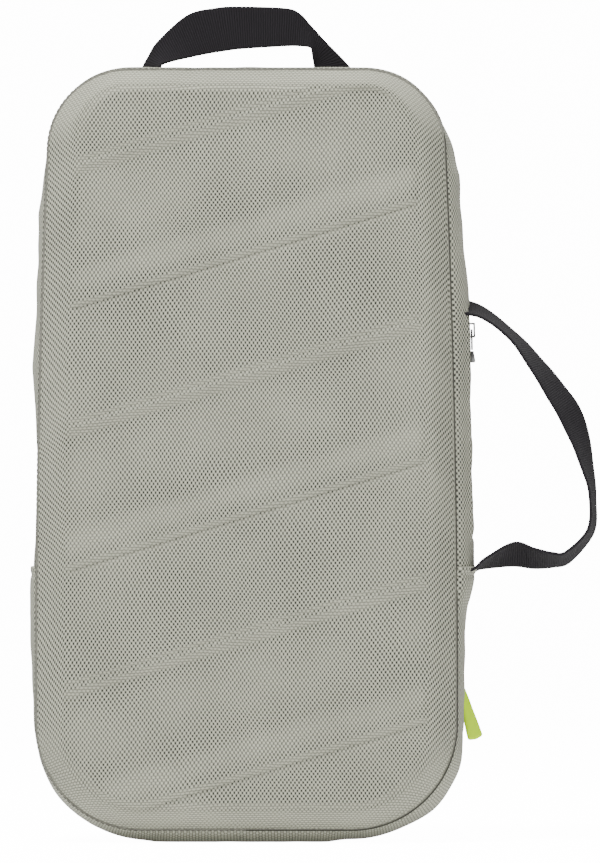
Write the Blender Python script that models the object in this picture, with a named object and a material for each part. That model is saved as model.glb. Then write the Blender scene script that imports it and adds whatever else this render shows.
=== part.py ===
"""Moulded carrying case for a slab-shaped launch monitor.

Frame: metres, +Z up, +X towards the side handle, the moulded back panel faces -Y.
The origin is the centre of the flat strip under the lower gusset, on which the case stands.
"""

import math

import bmesh
import bpy
from mathutils import Matrix, Vector

# Panels, seen square on
PANEL_HEIGHT = 0.4563
PANEL_FOOT_WIDTH = 0.2520
PANEL_TOP_WIDTH = 0.2380
FOOT_RADIUS = 0.063
TOP_RADIUS = 0.0485
SIDE_BOW = 0.0020
PANEL_DEPTH = 0.0140
SHELL_THICKNESS = 0.0030
LINING_THICKNESS = 0.0010
SLOPE_SIDE = 0.0160
SLOPE_TOP = 0.0090
SLOPE_FOOT = 0.0120

# Diagonal bands raised on both panels
BAND_COUNT = 3
BAND_FIRST = 0.0410
BAND_HEIGHT = 0.0850
BAND_PITCH = 0.1565
BAND_RISE = math.tan(math.radians(17.0))
BAND_RAISED = 0.0020
BAND_EDGE_SHARP = 0.0050
BAND_EDGE_SOFT = 0.0120
BAND_MARGIN = 0.0020
BAND_END = 0.0030

# Soft side walls
GUSSET_WIDTH = 0.0375
GUSSET_THICKNESS = 0.0030
GUSSET_JOIN_HEIGHT = 0.1650
SWELL_RIGHT = 0.0045
SWELL_POCKET = 0.0065
SWELL_LEFT = 0.0040
SWELL_TOP = 0.0015
SWELL_FOOT = 0.0084
FOOT_REST_HALF = 0.0450
FOOT_REST_FADE = 0.0250
FLAT_SHARE = 0.15
LID_BAND_WIDTH = 0.0140
LID_SWELL_RIGHT = 0.0050
LID_LIFT = 0.0003

# Main zip
ZIP_INSET = 0.0035
ZIP_HALF_WIDTH = 0.0100
TAPE_THICKNESS = 0.0009
COIL_WIDTH = 0.0018
COIL_THICKNESS = 0.0026
COIL_GAP = 0.0014
HINGE_FOOT = 0.0750
HINGE_TOP = 0.4000
COIL_FOOT = 0.0460
COIL_TOP = 0.4300
HINGE_THICKNESS = 0.0012
HINGE_SPLIT = 0.0006

# Sliders and pulls
SLIDER_LENGTH = 0.0160
SLIDER_WIDTH = 0.0120
SLIDER_PLATE = 0.0012
SLIDER_POST = 0.0008
LOWER_SLIDER_RISE = 0.0151
SLIDER_SPACING = 0.0245
BRIDGE_HEIGHT = 0.0032
BRIDGE_WIDTH = 0.0030
BRIDGE_LENGTH = 0.0090
BRIDGE_WALL = 0.0011
LINK_WIRE = 0.0012
LINK_WIDTH = 0.0056
LINK_LENGTH = 0.0120
TAB_LENGTH = 0.0370
TAB_WIDTH = 0.0080
UPPER_TAB_SHIFT = -0.0070
LOWER_TAB_SHIFT = 0.0058
TAB_NECK = 0.12
UPPER_LINK_LEAN = math.radians(9.0)
UPPER_TAB_LEAN = math.radians(21.0)

# Pocket in the right side wall
POCKET_FOOT = 0.1900
POCKET_TOP = 0.3180
POCKET_SLOT_WIDTH = 0.0120
POCKET_TAPE_THICKNESS = 0.0008
POCKET_COIL_THICKNESS = 0.0022
POCKET_SLIDER_LENGTH = 0.0130
POCKET_SLIDER_WIDTH = 0.0090
POCKET_SLIDER_PLATE = 0.0010
POCKET_SLIDER_HEIGHT = 0.3085
POCKET_SLIDER_POST_LENGTH = 0.0020
POCKET_PULL_LENGTH = 0.0190
BAG_THICKNESS = 0.0035
BAG_DEPTH = 0.0220
BAG_INSET = 0.0005

# Foam insert and what it holds
FOAM_CLEARANCE = 0.0075
DEVICE_WIDTH = 0.1920
DEVICE_HEIGHT = 0.3200
DEVICE_DEPTH = 0.0420
DEVICE_FOOT = 0.1180
ACCESSORY_WIDTH = 0.1500
ACCESSORY_HEIGHT = 0.0620
ACCESSORY_DEPTH = 0.0300
ACCESSORY_FOOT = 0.0300
RECESS_RADIUS = 0.0120
NOTCH_RADIUS = 0.0140
NOTCH_DEPTH = 0.0280
PAD_THICKNESS = 0.0140
MESH_WIDTH = 0.1900
MESH_HEIGHT = 0.1700
MESH_FOOT = 0.0650
MESH_STANDOFF = 0.0075
MESH_THICKNESS = 0.0010
ELASTIC_HEIGHT = 0.0070
ELASTIC_THICKNESS = 0.0026

# Webbing handles
WEBBING_WIDTH = 0.0250
WEBBING_THICKNESS = 0.0018
TOP_STUB = 0.0025
SIDE_STUB = 0.0140

# Fits
GAP = 0.0003
TUCK = 0.0005
ARC_STEPS = 6

# What follows from the sizes above
PANEL_FOOT = SWELL_FOOT
PANEL_TOP = PANEL_FOOT + PANEL_HEIGHT
SEAM_Y = -GUSSET_WIDTH / 2 - GAP
EDGE_Y = GUSSET_WIDTH / 2
ZIP_Y = EDGE_Y + ZIP_HALF_WIDTH
LID_EDGE_Y = ZIP_Y + ZIP_HALF_WIDTH
LID_SEAM_Y = LID_EDGE_Y + LID_BAND_WIDTH + GAP
LINING_INSET = SHELL_THICKNESS + GAP
INSIDE_INSET = LINING_INSET + LINING_THICKNESS
FLOOR_DEPTH = PANEL_DEPTH - INSIDE_INSET
FOAM_FLOOR_Y = SEAM_Y - FLOOR_DEPTH + TUCK
FOAM_FACE_Y = EDGE_Y + 0.002
PAD_BACK_Y = LID_SEAM_Y + FLOOR_DEPTH - TUCK
PAD_FACE_Y = PAD_BACK_Y - PAD_THICKNESS
FOOT_CENTRE = Vector((PANEL_FOOT_WIDTH / 2 - FOOT_RADIUS, PANEL_FOOT + FOOT_RADIUS))
LOWER_SLIDER_HEIGHT = FOOT_CENTRE.y + LOWER_SLIDER_RISE
UPPER_SLIDER_HEIGHT = LOWER_SLIDER_HEIGHT + SLIDER_SPACING
TOP_CENTRE = Vector((PANEL_TOP_WIDTH / 2 - TOP_RADIUS, PANEL_TOP - TOP_RADIUS))
CENTRES_APART = TOP_CENTRE - FOOT_CENTRE
CENTRE_TURN = math.atan2(CENTRES_APART.x, CENTRES_APART.y)
SIDE_TILT = math.asin((FOOT_RADIUS - TOP_RADIUS) / CENTRES_APART.length) - CENTRE_TURN
SIDE_OUT = Vector((math.cos(SIDE_TILT), 0, math.sin(SIDE_TILT)))
SIDE_UP = Vector((-math.sin(SIDE_TILT), 0, math.cos(SIDE_TILT)))
SIDE_FRAME = Matrix.Rotation(-SIDE_TILT, 4, "Y")
WALL_OUT = SIDE_BOW / 2 + SWELL_RIGHT + SWELL_POCKET
POCKET_OUT = WALL_OUT - 0.0010

FABRIC = ("ballistic_fabric", (0.40, 0.41, 0.37), 0.85, 0.0)
LINING = ("lining_fabric", (0.06, 0.06, 0.065), 0.9, 0.0)
FOAM = ("foam", (0.045, 0.045, 0.05), 0.95, 0.0)
WEBBING = ("webbing", (0.02, 0.018, 0.022), 0.7, 0.0)
TAPE = ("zip_tape", (0.05, 0.05, 0.05), 0.8, 0.0)
COIL = ("zip_coil", (0.03, 0.03, 0.03), 0.45, 0.0)
METAL = ("slider_metal", (0.45, 0.45, 0.46), 0.35, 1.0)
NEON = ("neon_ribbon", (0.70, 0.95, 0.03), 0.5, 0.0)
MESH = ("pocket_mesh", (0.03, 0.03, 0.03), 0.8, 0.0)


# Scene and meshes


def clear_scene():
    for obj in list(bpy.data.objects):
        bpy.data.objects.remove(obj, do_unlink=True)


def material(finish):
    name, colour, roughness, metallic = finish
    found = bpy.data.materials.get(name)
    if found:
        return found
    made = bpy.data.materials.new(name)
    made.use_nodes = True
    shader = made.node_tree.nodes["Principled BSDF"]
    shader.inputs["Base Color"].default_value = (*colour, 1)
    shader.inputs["Roughness"].default_value = roughness
    shader.inputs["Metallic"].default_value = metallic
    return made


def add_object(name, bm, finish, origin=(0, 0, 0)):
    """A new object from a bmesh in world space, with its own origin."""
    bmesh.ops.recalc_face_normals(bm, faces=bm.faces)
    bmesh.ops.translate(bm, verts=bm.verts, vec=-Vector(origin))
    mesh = bpy.data.meshes.new(name)
    bm.to_mesh(mesh)
    bm.free()
    obj = bpy.data.objects.new(name, mesh)
    obj.location = origin
    bpy.context.scene.collection.objects.link(obj)
    mesh.materials.append(material(finish))
    mesh.shade_smooth()
    mesh.set_sharp_from_angle(angle=math.radians(35))
    return obj


def add_cutter(name, bm):
    obj = add_object(name, bm, FOAM)
    obj.hide_render = True
    obj.display_type = "WIRE"
    return obj


def combine(obj, other, operation):
    modifier = obj.modifiers.new(other.name, "BOOLEAN")
    modifier.operation = operation
    modifier.object = other
    modifier.solver = "EXACT"


def grid_solid(rows, wrap_rows, wrap_columns):
    """A closed body over a grid of points; an end that doesn't wrap is capped."""
    bm = bmesh.new()
    verts = [[bm.verts.new(point) for point in row] for row in rows]
    row_count = len(rows)
    column_count = len(rows[0])
    for i in range(row_count if wrap_rows else row_count - 1):
        for j in range(column_count if wrap_columns else column_count - 1):
            below = verts[(i + 1) % row_count]
            after = (j + 1) % column_count
            bm.faces.new((verts[i][j], verts[i][after], below[after], below[j]))
    if not wrap_rows:
        bm.faces.new(verts[0])
        bm.faces.new(verts[-1])
    if not wrap_columns:
        bm.faces.new([row[0] for row in verts])
        bm.faces.new([row[-1] for row in verts])
    return bm


def box(low, high, frame=None):
    """A box between two corners, turned by a frame if one is given."""
    bm = bmesh.new()
    bmesh.ops.create_cube(bm, size=1)
    size = Vector(high) - Vector(low)
    centre = (Vector(high) + Vector(low)) / 2
    bmesh.ops.scale(bm, vec=size, verts=bm.verts)
    bmesh.ops.translate(bm, vec=centre, verts=bm.verts)
    if frame:
        bmesh.ops.transform(bm, matrix=frame, verts=bm.verts)
    return bm


# The outline that both panels and all the side pieces follow


def outline(right_steps, left_steps, end_steps=1):
    """Knots (x, z, nx, nz, bow) of the seam line, anticlockwise seen from the back panel."""
    foot_x, foot_z = FOOT_CENTRE
    top_x, top_z = TOP_CENTRE
    quarter = math.pi / 2
    corners = (
        (foot_x, foot_z, FOOT_RADIUS, -quarter, SIDE_TILT, right_steps, 1),
        (top_x, top_z, TOP_RADIUS, SIDE_TILT, quarter, end_steps, 0),
        (-top_x, top_z, TOP_RADIUS, quarter, math.pi - SIDE_TILT, left_steps, 1),
        (-foot_x, foot_z, FOOT_RADIUS, math.pi - SIDE_TILT, 3 * quarter, end_steps, 0),
    )
    knots = []
    for index, (x, z, radius, start, end, steps, bows) in enumerate(corners):
        for step in range(ARC_STEPS + 1):
            angle = start + (end - start) * step / ARC_STEPS
            nx = math.cos(angle)
            nz = math.sin(angle)
            knots.append((x + radius * nx, z + radius * nz, nx, nz, 0.0))
        next_x, next_z, next_radius = corners[(index + 1) % 4][:3]
        side_start = Vector((x + radius * nx, z + radius * nz))
        side_end = Vector((next_x + next_radius * nx, next_z + next_radius * nz))
        for step in range(1, steps):
            share = step / steps
            place = side_start.lerp(side_end, share)
            knots.append((place.x, place.y, nx, nz, bows * 4 * share * (1 - share)))
    return knots


def position_at(knots, side, height):
    """Where the outline crosses a height on the right (+1) or left (-1) side, as a knot index."""
    count = len(knots)
    for index in range(count):
        here = knots[index]
        after = knots[(index + 1) % count]
        low, high = sorted((here[1], after[1]))
        if here[0] * side > 0 and after[0] * side > 0 and low <= height < high:
            return index + (height - here[1]) / (after[1] - here[1])
    raise ValueError(f"no outline at height {height}")


def knot_between(knots, position):
    count = len(knots)
    here = knots[int(position) % count]
    after = knots[(int(position) + 1) % count]
    share = position % 1
    return tuple(a + (b - a) * share for a, b in zip(here, after))


def stretch(knots, start, end):
    """The open run of the outline from one position on to another."""
    count = len(knots)
    if end <= start:
        end += count
    inside = [knots[i % count] for i in range(math.floor(start) + 1, math.ceil(end))]
    return [knot_between(knots, start), *inside, knot_between(knots, end)]


def point_off(knot, offset, y):
    x, z, nx, nz, _ = knot
    return Vector((x + nx * offset, y, z + nz * offset))


def side_point(offset, y, height):
    """A point beside the right side's straight line, at an offset out from it."""
    start = FOOT_CENTRE + FOOT_RADIUS * Vector((SIDE_OUT.x, SIDE_OUT.z))
    along = (height - start.y - offset * SIDE_OUT.z) / SIDE_UP.z
    point = Vector((start.x, y, start.y)) + SIDE_UP * along + SIDE_OUT * offset
    return point


def blend(low, high, value):
    share = min(1.0, max(0.0, (value - low) / (high - low)))
    return share * share * (3 - 2 * share)


def by_side(knot, right, left, top, foot):
    """One value from four, mixed round the corners by the direction that the outline faces."""
    nx = knot[2]
    nz = knot[3]
    return nx * nx * (right if nx > 0 else left) + nz * nz * (top if nz > 0 else foot)


# Moulded panels


def panel_rows(seam_y, outward, inset, rings):
    slopes = []
    for share_in, share_up in rings:
        row = []
        for knot in outline(4, 4):
            slope = by_side(knot, SLOPE_SIDE, SLOPE_SIDE, SLOPE_TOP, SLOPE_FOOT)
            offset = knot[4] * SIDE_BOW * (1 - share_in) - inset - slope * share_in
            height = (PANEL_DEPTH - inset) * share_up
            row.append(point_off(knot, offset, seam_y + outward * height))
        slopes.append(row)
    return slopes


def moulded_panel(name, seam_y, outward, inset, thickness, rings, finish):
    """A shallow tray with a soft slope round its face; outward is -1 at the back, +1 on the lid."""
    outer = panel_rows(seam_y, outward, inset, rings)
    inner = panel_rows(seam_y, outward, inset + thickness, rings)
    loops = list(reversed(outer)) + inner
    columns = [[loop[i] for loop in loops] for i in range(len(loops[0]))]
    return add_object(name, grid_solid(columns, True, False), finish)


def clipped(polygon, keep):
    """The part of a convex polygon where keep(point) is positive."""
    result = []
    for here, after in zip(polygon, polygon[1:] + polygon[:1]):
        side_here = keep(here)
        side_after = keep(after)
        if side_here >= 0:
            result.append(here)
        if side_here * side_after < 0:
            result.append(here + (after - here) * (side_here / (side_here - side_after)))
    return result


def band_outline(number, outward, margin, raise_low, raise_high):
    lean = -outward * BAND_RISE
    low = PANEL_FOOT - SWELL_FOOT + BAND_FIRST + number * BAND_PITCH + raise_low
    high = low - raise_low + BAND_HEIGHT - raise_high
    polygon = []
    for knot in outline(4, 4):
        slope = by_side(knot, SLOPE_SIDE, SLOPE_SIDE, SLOPE_TOP, SLOPE_FOOT)
        flat = point_off(knot, -slope - margin, 0)
        polygon.append(flat)
    polygon = clipped(polygon, lambda point: point.z - low - lean * point.x)
    return clipped(polygon, lambda point: high + lean * point.x - point.z)


def raise_bands(panel, seam_y, outward):
    """Unites the diagonal bands with a panel's face, soft at the upper edge and crisp at the lower."""
    face_y = seam_y + outward * PANEL_DEPTH
    for number in range(BAND_COUNT):
        foot = band_outline(number, outward, BAND_MARGIN, 0, 0)
        crown = band_outline(
            number, outward, BAND_MARGIN + BAND_END, BAND_EDGE_SHARP, BAND_EDGE_SOFT
        )
        bm = bmesh.new()
        for point in foot:
            bm.verts.new((point.x, face_y - outward * SHELL_THICKNESS / 2, point.z))
            bm.verts.new((point.x, face_y, point.z))
        for point in crown:
            bm.verts.new((point.x, face_y + outward * BAND_RAISED, point.z))
        hull = bmesh.ops.convex_hull(bm, input=bm.verts)
        loose = [item for item in hull["geom_interior"] if isinstance(item, bmesh.types.BMVert)]
        bmesh.ops.delete(bm, geom=loose, context="VERTS")
        combine(panel, add_cutter(f"{panel.name}_band_{number + 1}", bm), "UNION")


def add_panels():
    full = ((0, 0), (0.06, 0.35), (0.25, 0.68), (0.6, 0.92), (1, 1))
    plain = ((0, 0), (0.2, 0.6), (1, 1))
    back = moulded_panel("back_shell", SEAM_Y, -1, 0, SHELL_THICKNESS, full, FABRIC)
    raise_bands(back, SEAM_Y, -1)
    lid = moulded_panel("lid_shell", LID_SEAM_Y, 1, 0, SHELL_THICKNESS, full, FABRIC)
    raise_bands(lid, LID_SEAM_Y, 1)
    inset = LINING_INSET
    moulded_panel("back_lining", SEAM_Y, -1, inset, LINING_THICKNESS, plain, LINING)
    moulded_panel("lid_lining", LID_SEAM_Y, 1, inset, LINING_THICKNESS, plain, LINING)


# Side walls, seam bindings, zip tapes and the fabric hinge


def hump(share):
    """0 at both edges of a side wall and 1 over its flat middle."""
    crest = math.sin(math.pi * (0.5 - FLAT_SHARE))
    return min(1.0, (max(0.0, math.sin(math.pi * share)) / crest) ** 0.6)


def right_swell(height):
    """The right side swells further where the pocket is."""
    rise = blend(GUSSET_JOIN_HEIGHT - 0.050, GUSSET_JOIN_HEIGHT, height)
    fall = blend(POCKET_TOP + 0.012, POCKET_TOP + 0.080, height)
    return SWELL_RIGHT + SWELL_POCKET * rise * (1 - fall)


def foot_swell(x, most):
    """The foot swells fully along its middle, where the case rests, and half as far near its corners."""
    return most * (1 - 0.5 * blend(FOOT_REST_HALF, FOOT_REST_HALF + FOOT_REST_FADE, abs(x)))


def wall_section(knot, edge_y, seam_y, swells, stations):
    """One closed section of a side wall, from its zip edge to its seam edge and back inside."""
    outer = []
    inner = []
    for share in stations:
        y = edge_y + (seam_y - edge_y) * share
        bow = SIDE_BOW * knot[4] * share
        tucked = ZIP_INSET * (1 - blend(0, 1, share)) + TUCK * share
        rise = hump(share)
        offset = bow - tucked * (1 - rise) + by_side(knot, *swells) * rise
        outer.append(point_off(knot, offset, y))
        inner.append(point_off(knot, offset - GUSSET_THICKNESS, y))
    return outer + inner[::-1]


def add_side_walls():
    stations = (0, 0.08, 0.2, 0.5 - FLAT_SHARE, 0.5 + FLAT_SHARE, 0.8, 0.92, 1)
    knots = outline(12, 4, 6)
    left = position_at(knots, -1, GUSSET_JOIN_HEIGHT)
    right = position_at(knots, 1, GUSSET_JOIN_HEIGHT)
    left_above = position_at(knots, -1, GUSSET_JOIN_HEIGHT + GAP)
    right_above = position_at(knots, 1, GUSSET_JOIN_HEIGHT + GAP)
    wall_y = -GUSSET_WIDTH / 2
    for name, start, end in (
        ("lower_gusset", left, right),
        ("upper_gusset", right_above, left_above),
    ):
        rows = []
        for knot in stretch(knots, start, end):
            foot = foot_swell(knot[0], SWELL_FOOT)
            swells = (right_swell(knot[1]), SWELL_LEFT, SWELL_TOP, foot)
            rows.append(wall_section(knot, EDGE_Y, wall_y, swells, stations))
        add_object(name, grid_solid(rows, False, True), FABRIC)
    lid_stations = (0, 0.12, 0.5 - FLAT_SHARE, 0.5 + FLAT_SHARE, 0.88, 1)
    rows = []
    for knot in outline(4, 4, 6):
        foot = foot_swell(knot[0], PANEL_FOOT - LID_LIFT)
        swells = (LID_SWELL_RIGHT, 0, SWELL_TOP, foot)
        rows.append(wall_section(knot, LID_EDGE_Y, LID_SEAM_Y - GAP, swells, lid_stations))
    add_object("lid_side_band", grid_solid(rows, True, True), FABRIC)


def strip_rows(knots, centre, thickness, low_y, high_y):
    half = thickness / 2
    corners = ((half, low_y), (half, high_y), (-half, high_y), (-half, low_y))
    return [[point_off(knot, centre + d, y) for d, y in corners] for knot in knots]


def add_bindings():
    """Folded tape that covers the raw edges inside each seam."""
    centre = -INSIDE_INSET - GAP - 0.001
    knots = outline(1, 1)
    for name, low_y, high_y in (
        ("back_seam_binding", SEAM_Y + GAP, SEAM_Y + GAP + 0.005),
        ("lid_seam_binding", LID_SEAM_Y - GAP - 0.005, LID_SEAM_Y - GAP),
    ):
        rows = strip_rows(knots, centre, 0.002, low_y, high_y)
        add_object(name, grid_solid(rows, True, True), TAPE)


def add_main_zip():
    knots = outline(1, 1)
    foot = position_at(knots, -1, HINGE_FOOT)
    top = position_at(knots, -1, HINGE_TOP)
    foot_gap = position_at(knots, -1, HINGE_FOOT + GAP)
    top_gap = position_at(knots, -1, HINGE_TOP - GAP)
    zip_run = stretch(knots, foot, top)
    coil_foot = position_at(knots, -1, COIL_FOOT)
    coil_top = position_at(knots, -1, COIL_TOP)
    coil_run = stretch(knots, coil_foot, coil_top)
    hinge_run = stretch(knots, top_gap, foot_gap)
    coil_edge = COIL_GAP / 2
    tape_edge = coil_edge + COIL_WIDTH + GAP
    for name, side, near, far, thickness, run, finish in (
        ("base_zip_tape", -1, tape_edge, ZIP_HALF_WIDTH - GAP, TAPE_THICKNESS, zip_run, TAPE),
        ("lid_zip_tape", 1, tape_edge, ZIP_HALF_WIDTH - GAP, TAPE_THICKNESS, zip_run, TAPE),
        ("base_zip_coil", -1, coil_edge, tape_edge - GAP, COIL_THICKNESS, coil_run, COIL),
        ("lid_zip_coil", 1, coil_edge, tape_edge - GAP, COIL_THICKNESS, coil_run, COIL),
        ("base_hinge_strip", -1, HINGE_SPLIT / 2, ZIP_HALF_WIDTH - GAP, HINGE_THICKNESS,
         hinge_run, FABRIC),
        ("lid_hinge_strip", 1, HINGE_SPLIT / 2, ZIP_HALF_WIDTH - GAP, HINGE_THICKNESS,
         hinge_run, FABRIC),
    ):
        ends = sorted((ZIP_Y + side * near, ZIP_Y + side * far))
        rows = strip_rows(run, -ZIP_INSET, thickness, *ends)
        add_object(name, grid_solid(rows, False, True), finish)


# Zip sliders, their links and ribbon tabs


def slider_solid(name, origin, coil_thickness, plate, length, width, post_length):
    """Two plates joined by a post between the coils, with a bridge for the pull's link.

    The body stands in the side wall's tilted frame, and its origin is on the coils' middle.
    """
    frame = Matrix.Translation(origin) @ SIDE_FRAME
    near = coil_thickness / 2 + GAP
    far = near + plate
    body = add_object(
        name,
        box((near, -width / 2, -length / 2), (far, width / 2, length / 2), frame),
        METAL,
        origin,
    )
    parts = (
        ("inner_plate", (-far, -width / 2, -length / 2), (-near, width / 2, length / 2)),
        ("post", (-far + 0.0003, -SLIDER_POST / 2, -post_length / 2),
         (far - 0.0003, SLIDER_POST / 2, post_length / 2)),
        ("bridge", (far - 0.0003, -BRIDGE_WIDTH / 2, -BRIDGE_LENGTH / 2),
         (far + BRIDGE_HEIGHT, BRIDGE_WIDTH / 2, BRIDGE_LENGTH / 2)),
    )
    for part_name, low, high in parts:
        combine(body, add_cutter(f"{name}_{part_name}", box(low, high, frame)), "UNION")
    hole = box(
        (far, -BRIDGE_WIDTH, -BRIDGE_LENGTH / 2 + BRIDGE_WALL),
        (far + BRIDGE_HEIGHT - BRIDGE_WALL, BRIDGE_WIDTH, BRIDGE_LENGTH / 2 - BRIDGE_WALL),
        frame,
    )
    combine(body, add_cutter(f"{name}_hole", hole), "DIFFERENCE")
    return far + (BRIDGE_HEIGHT - BRIDGE_WALL) / 2


def add_pull(prefix, pivot, leans, shift, tab_length, tab_width, tab_finish):
    """A wire link that turns in the bridge, and the tab that hangs from it."""
    frame = Matrix.Translation(pivot) @ Matrix.Rotation(-leans[0], 4, "Y")
    wire = LINK_WIRE / 2
    half = LINK_WIDTH / 2
    link = add_object(
        f"{prefix}_link",
        box((-wire, -half, -LINK_LENGTH), (wire, half, wire), frame),
        METAL,
        pivot,
    )
    inside = half - LINK_WIRE
    hole = box((-wire * 3, -inside, -LINK_LENGTH + LINK_WIRE), (wire * 3, inside, -wire), frame)
    combine(link, add_cutter(f"{prefix}_link_hole", hole), "DIFFERENCE")
    link_end = frame @ Vector((0, 0, -LINK_LENGTH))
    tab_frame = Matrix.Translation(link_end) @ Matrix.Rotation(-leans[1], 4, "Y")
    rows = []
    for drop, half_thickness in ((0, 0.0010), (TAB_NECK, 0.0011), (0.9, 0.0020), (1, 0.0014)):
        z = -2 * GAP - tab_length * drop
        aside = shift * min(drop / TAB_NECK, 1)
        half_width = (tab_width if drop else LINK_WIDTH) / 2
        low = aside - half_width
        high = aside + half_width
        corners = (
            (-half_thickness, low),
            (half_thickness, low),
            (half_thickness, high),
            (-half_thickness, high),
        )
        rows.append([tab_frame @ Vector((x, y, z)) for x, y in corners])
    add_object(f"{prefix}_tab", grid_solid(rows, False, True), tab_finish, pivot)


def add_main_sliders():
    for name, height, leans, shift in (
        ("upper", UPPER_SLIDER_HEIGHT, (UPPER_LINK_LEAN, UPPER_TAB_LEAN), UPPER_TAB_SHIFT),
        ("lower", LOWER_SLIDER_HEIGHT, (0, 0), LOWER_TAB_SHIFT),
    ):
        origin = side_point(-ZIP_INSET, ZIP_Y, height)
        reach = slider_solid(
            f"main_slider_{name}",
            origin,
            COIL_THICKNESS,
            SLIDER_PLATE,
            SLIDER_LENGTH,
            SLIDER_WIDTH,
            0.003,
        )
        pivot = origin + SIDE_OUT * reach
        add_pull(f"{name}_pull", pivot, leans, shift, TAB_LENGTH, TAB_WIDTH, NEON)


# Side pocket


def side_box(name, offsets, ys, heights, finish):
    """A box in the right side's tilted frame, from ranges of offset, depth and height."""
    middle = sum(heights) / 2
    centre = side_point(0, 0, middle)
    half = (heights[1] - heights[0]) / 2
    frame = Matrix.Translation(centre) @ SIDE_FRAME
    bm = box((offsets[0], ys[0], -half), (offsets[1], ys[1], half), frame)
    return add_object(name, bm, finish) if finish else add_cutter(name, bm)


def add_side_pocket():
    heights = (POCKET_FOOT, POCKET_TOP)
    half = POCKET_SLOT_WIDTH / 2
    slot = side_box("pocket_slot", (-0.004, 0.020), (-half, half), heights, None)
    combine(bpy.data.objects["upper_gusset"], slot, "DIFFERENCE")
    inside = (POCKET_FOOT + GAP, POCKET_TOP - GAP)
    coil_edge = COIL_GAP / 2
    tape_edge = coil_edge + COIL_WIDTH + GAP
    tape = POCKET_TAPE_THICKNESS / 2
    coil = POCKET_COIL_THICKNESS / 2
    for name, side in (("front", -1), ("rear", 1)):
        ends = sorted((side * tape_edge, side * (half - GAP)))
        offsets = (POCKET_OUT - tape, POCKET_OUT + tape)
        side_box(f"pocket_zip_tape_{name}", offsets, ends, inside, TAPE)
        ends = sorted((side * coil_edge, side * (tape_edge - GAP)))
        offsets = (POCKET_OUT - coil, POCKET_OUT + coil)
        side_box(f"pocket_zip_coil_{name}", offsets, ends, inside, COIL)
    surface = WALL_OUT + GAP
    cover = (POCKET_FOOT - 0.004, POCKET_FOOT + 0.007)
    side_box("pocket_zip_garage", (surface, surface + 0.0012), (-half, half), cover, FABRIC)
    side_box(
        "pocket_bag",
        (-BAG_INSET - BAG_THICKNESS, -BAG_INSET),
        (-BAG_DEPTH / 2, BAG_DEPTH / 2),
        (POCKET_FOOT - 0.012, POCKET_TOP + 0.006),
        LINING,
    )
    origin = side_point(POCKET_OUT, 0, POCKET_SLIDER_HEIGHT)
    reach = slider_solid(
        "pocket_slider",
        origin,
        POCKET_COIL_THICKNESS,
        POCKET_SLIDER_PLATE,
        POCKET_SLIDER_LENGTH,
        POCKET_SLIDER_WIDTH,
        POCKET_SLIDER_POST_LENGTH,
    )
    pivot = origin + SIDE_OUT * reach
    length = POCKET_PULL_LENGTH - LINK_LENGTH
    add_pull("pocket_pull", pivot, (SIDE_TILT, SIDE_TILT), 0, length, 0.006, METAL)


# Foam, mesh pocket


def foam_block(name, floor_y, seam_y, face_y, finish):
    """A block that fills a panel's tray and stands up to its face, clear of the linings."""
    knots = outline(1, 1)
    deep = []
    for knot in knots:
        slope = by_side(knot, SLOPE_SIDE, SLOPE_SIDE, SLOPE_TOP, SLOPE_FOOT)
        deep.append(point_off(knot, -slope - INSIDE_INSET - 0.002, floor_y))
    seam = [point_off(knot, -FOAM_CLEARANCE, seam_y) for knot in knots]
    face = [point_off(knot, -FOAM_CLEARANCE, face_y) for knot in knots]
    return add_object(name, grid_solid([deep, seam, face], False, True), finish)


def rounded_cutter(name, width, foot, height, floor_y):
    """A recess cutter, open towards the lid, with rounded corners."""
    bm = box((-width / 2, floor_y, foot), (width / 2, FOAM_FACE_Y + 0.01, foot + height))
    upright = [e for e in bm.edges if abs(e.verts[0].co.y - e.verts[1].co.y) > 0.001]
    bmesh.ops.bevel(
        bm, geom=upright, offset=RECESS_RADIUS, segments=4, profile=0.5, affect="EDGES"
    )
    return add_cutter(name, bm)


def add_foam():
    foam = foam_block("foam_insert", FOAM_FLOOR_Y, SEAM_Y, FOAM_FACE_Y, FOAM)
    device_floor = FOAM_FACE_Y - DEVICE_DEPTH
    device = rounded_cutter("device_cut", DEVICE_WIDTH, DEVICE_FOOT, DEVICE_HEIGHT, device_floor)
    combine(foam, device, "DIFFERENCE")
    accessory = rounded_cutter(
        "accessory_cut",
        ACCESSORY_WIDTH,
        ACCESSORY_FOOT,
        ACCESSORY_HEIGHT,
        FOAM_FACE_Y - ACCESSORY_DEPTH,
    )
    combine(foam, accessory, "DIFFERENCE")
    turn = Matrix.Rotation(math.pi / 2, 4, "X")
    for name, side in (("left", -1), ("right", 1)):
        bm = bmesh.new()
        bmesh.ops.create_cone(
            bm,
            cap_ends=True,
            segments=16,
            radius1=NOTCH_RADIUS,
            radius2=NOTCH_RADIUS,
            depth=NOTCH_DEPTH + 0.01,
        )
        y = FOAM_FACE_Y - (NOTCH_DEPTH - 0.01) / 2
        centre = Vector((side * DEVICE_WIDTH / 2, y, DEVICE_FOOT + DEVICE_HEIGHT / 2))
        bmesh.ops.transform(bm, matrix=Matrix.Translation(centre) @ turn, verts=bm.verts)
        combine(foam, add_cutter(f"notch_{name}", bm), "DIFFERENCE")
    foam_block("lid_foam_pad", PAD_BACK_Y, LID_SEAM_Y, PAD_FACE_Y, FOAM)


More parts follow.
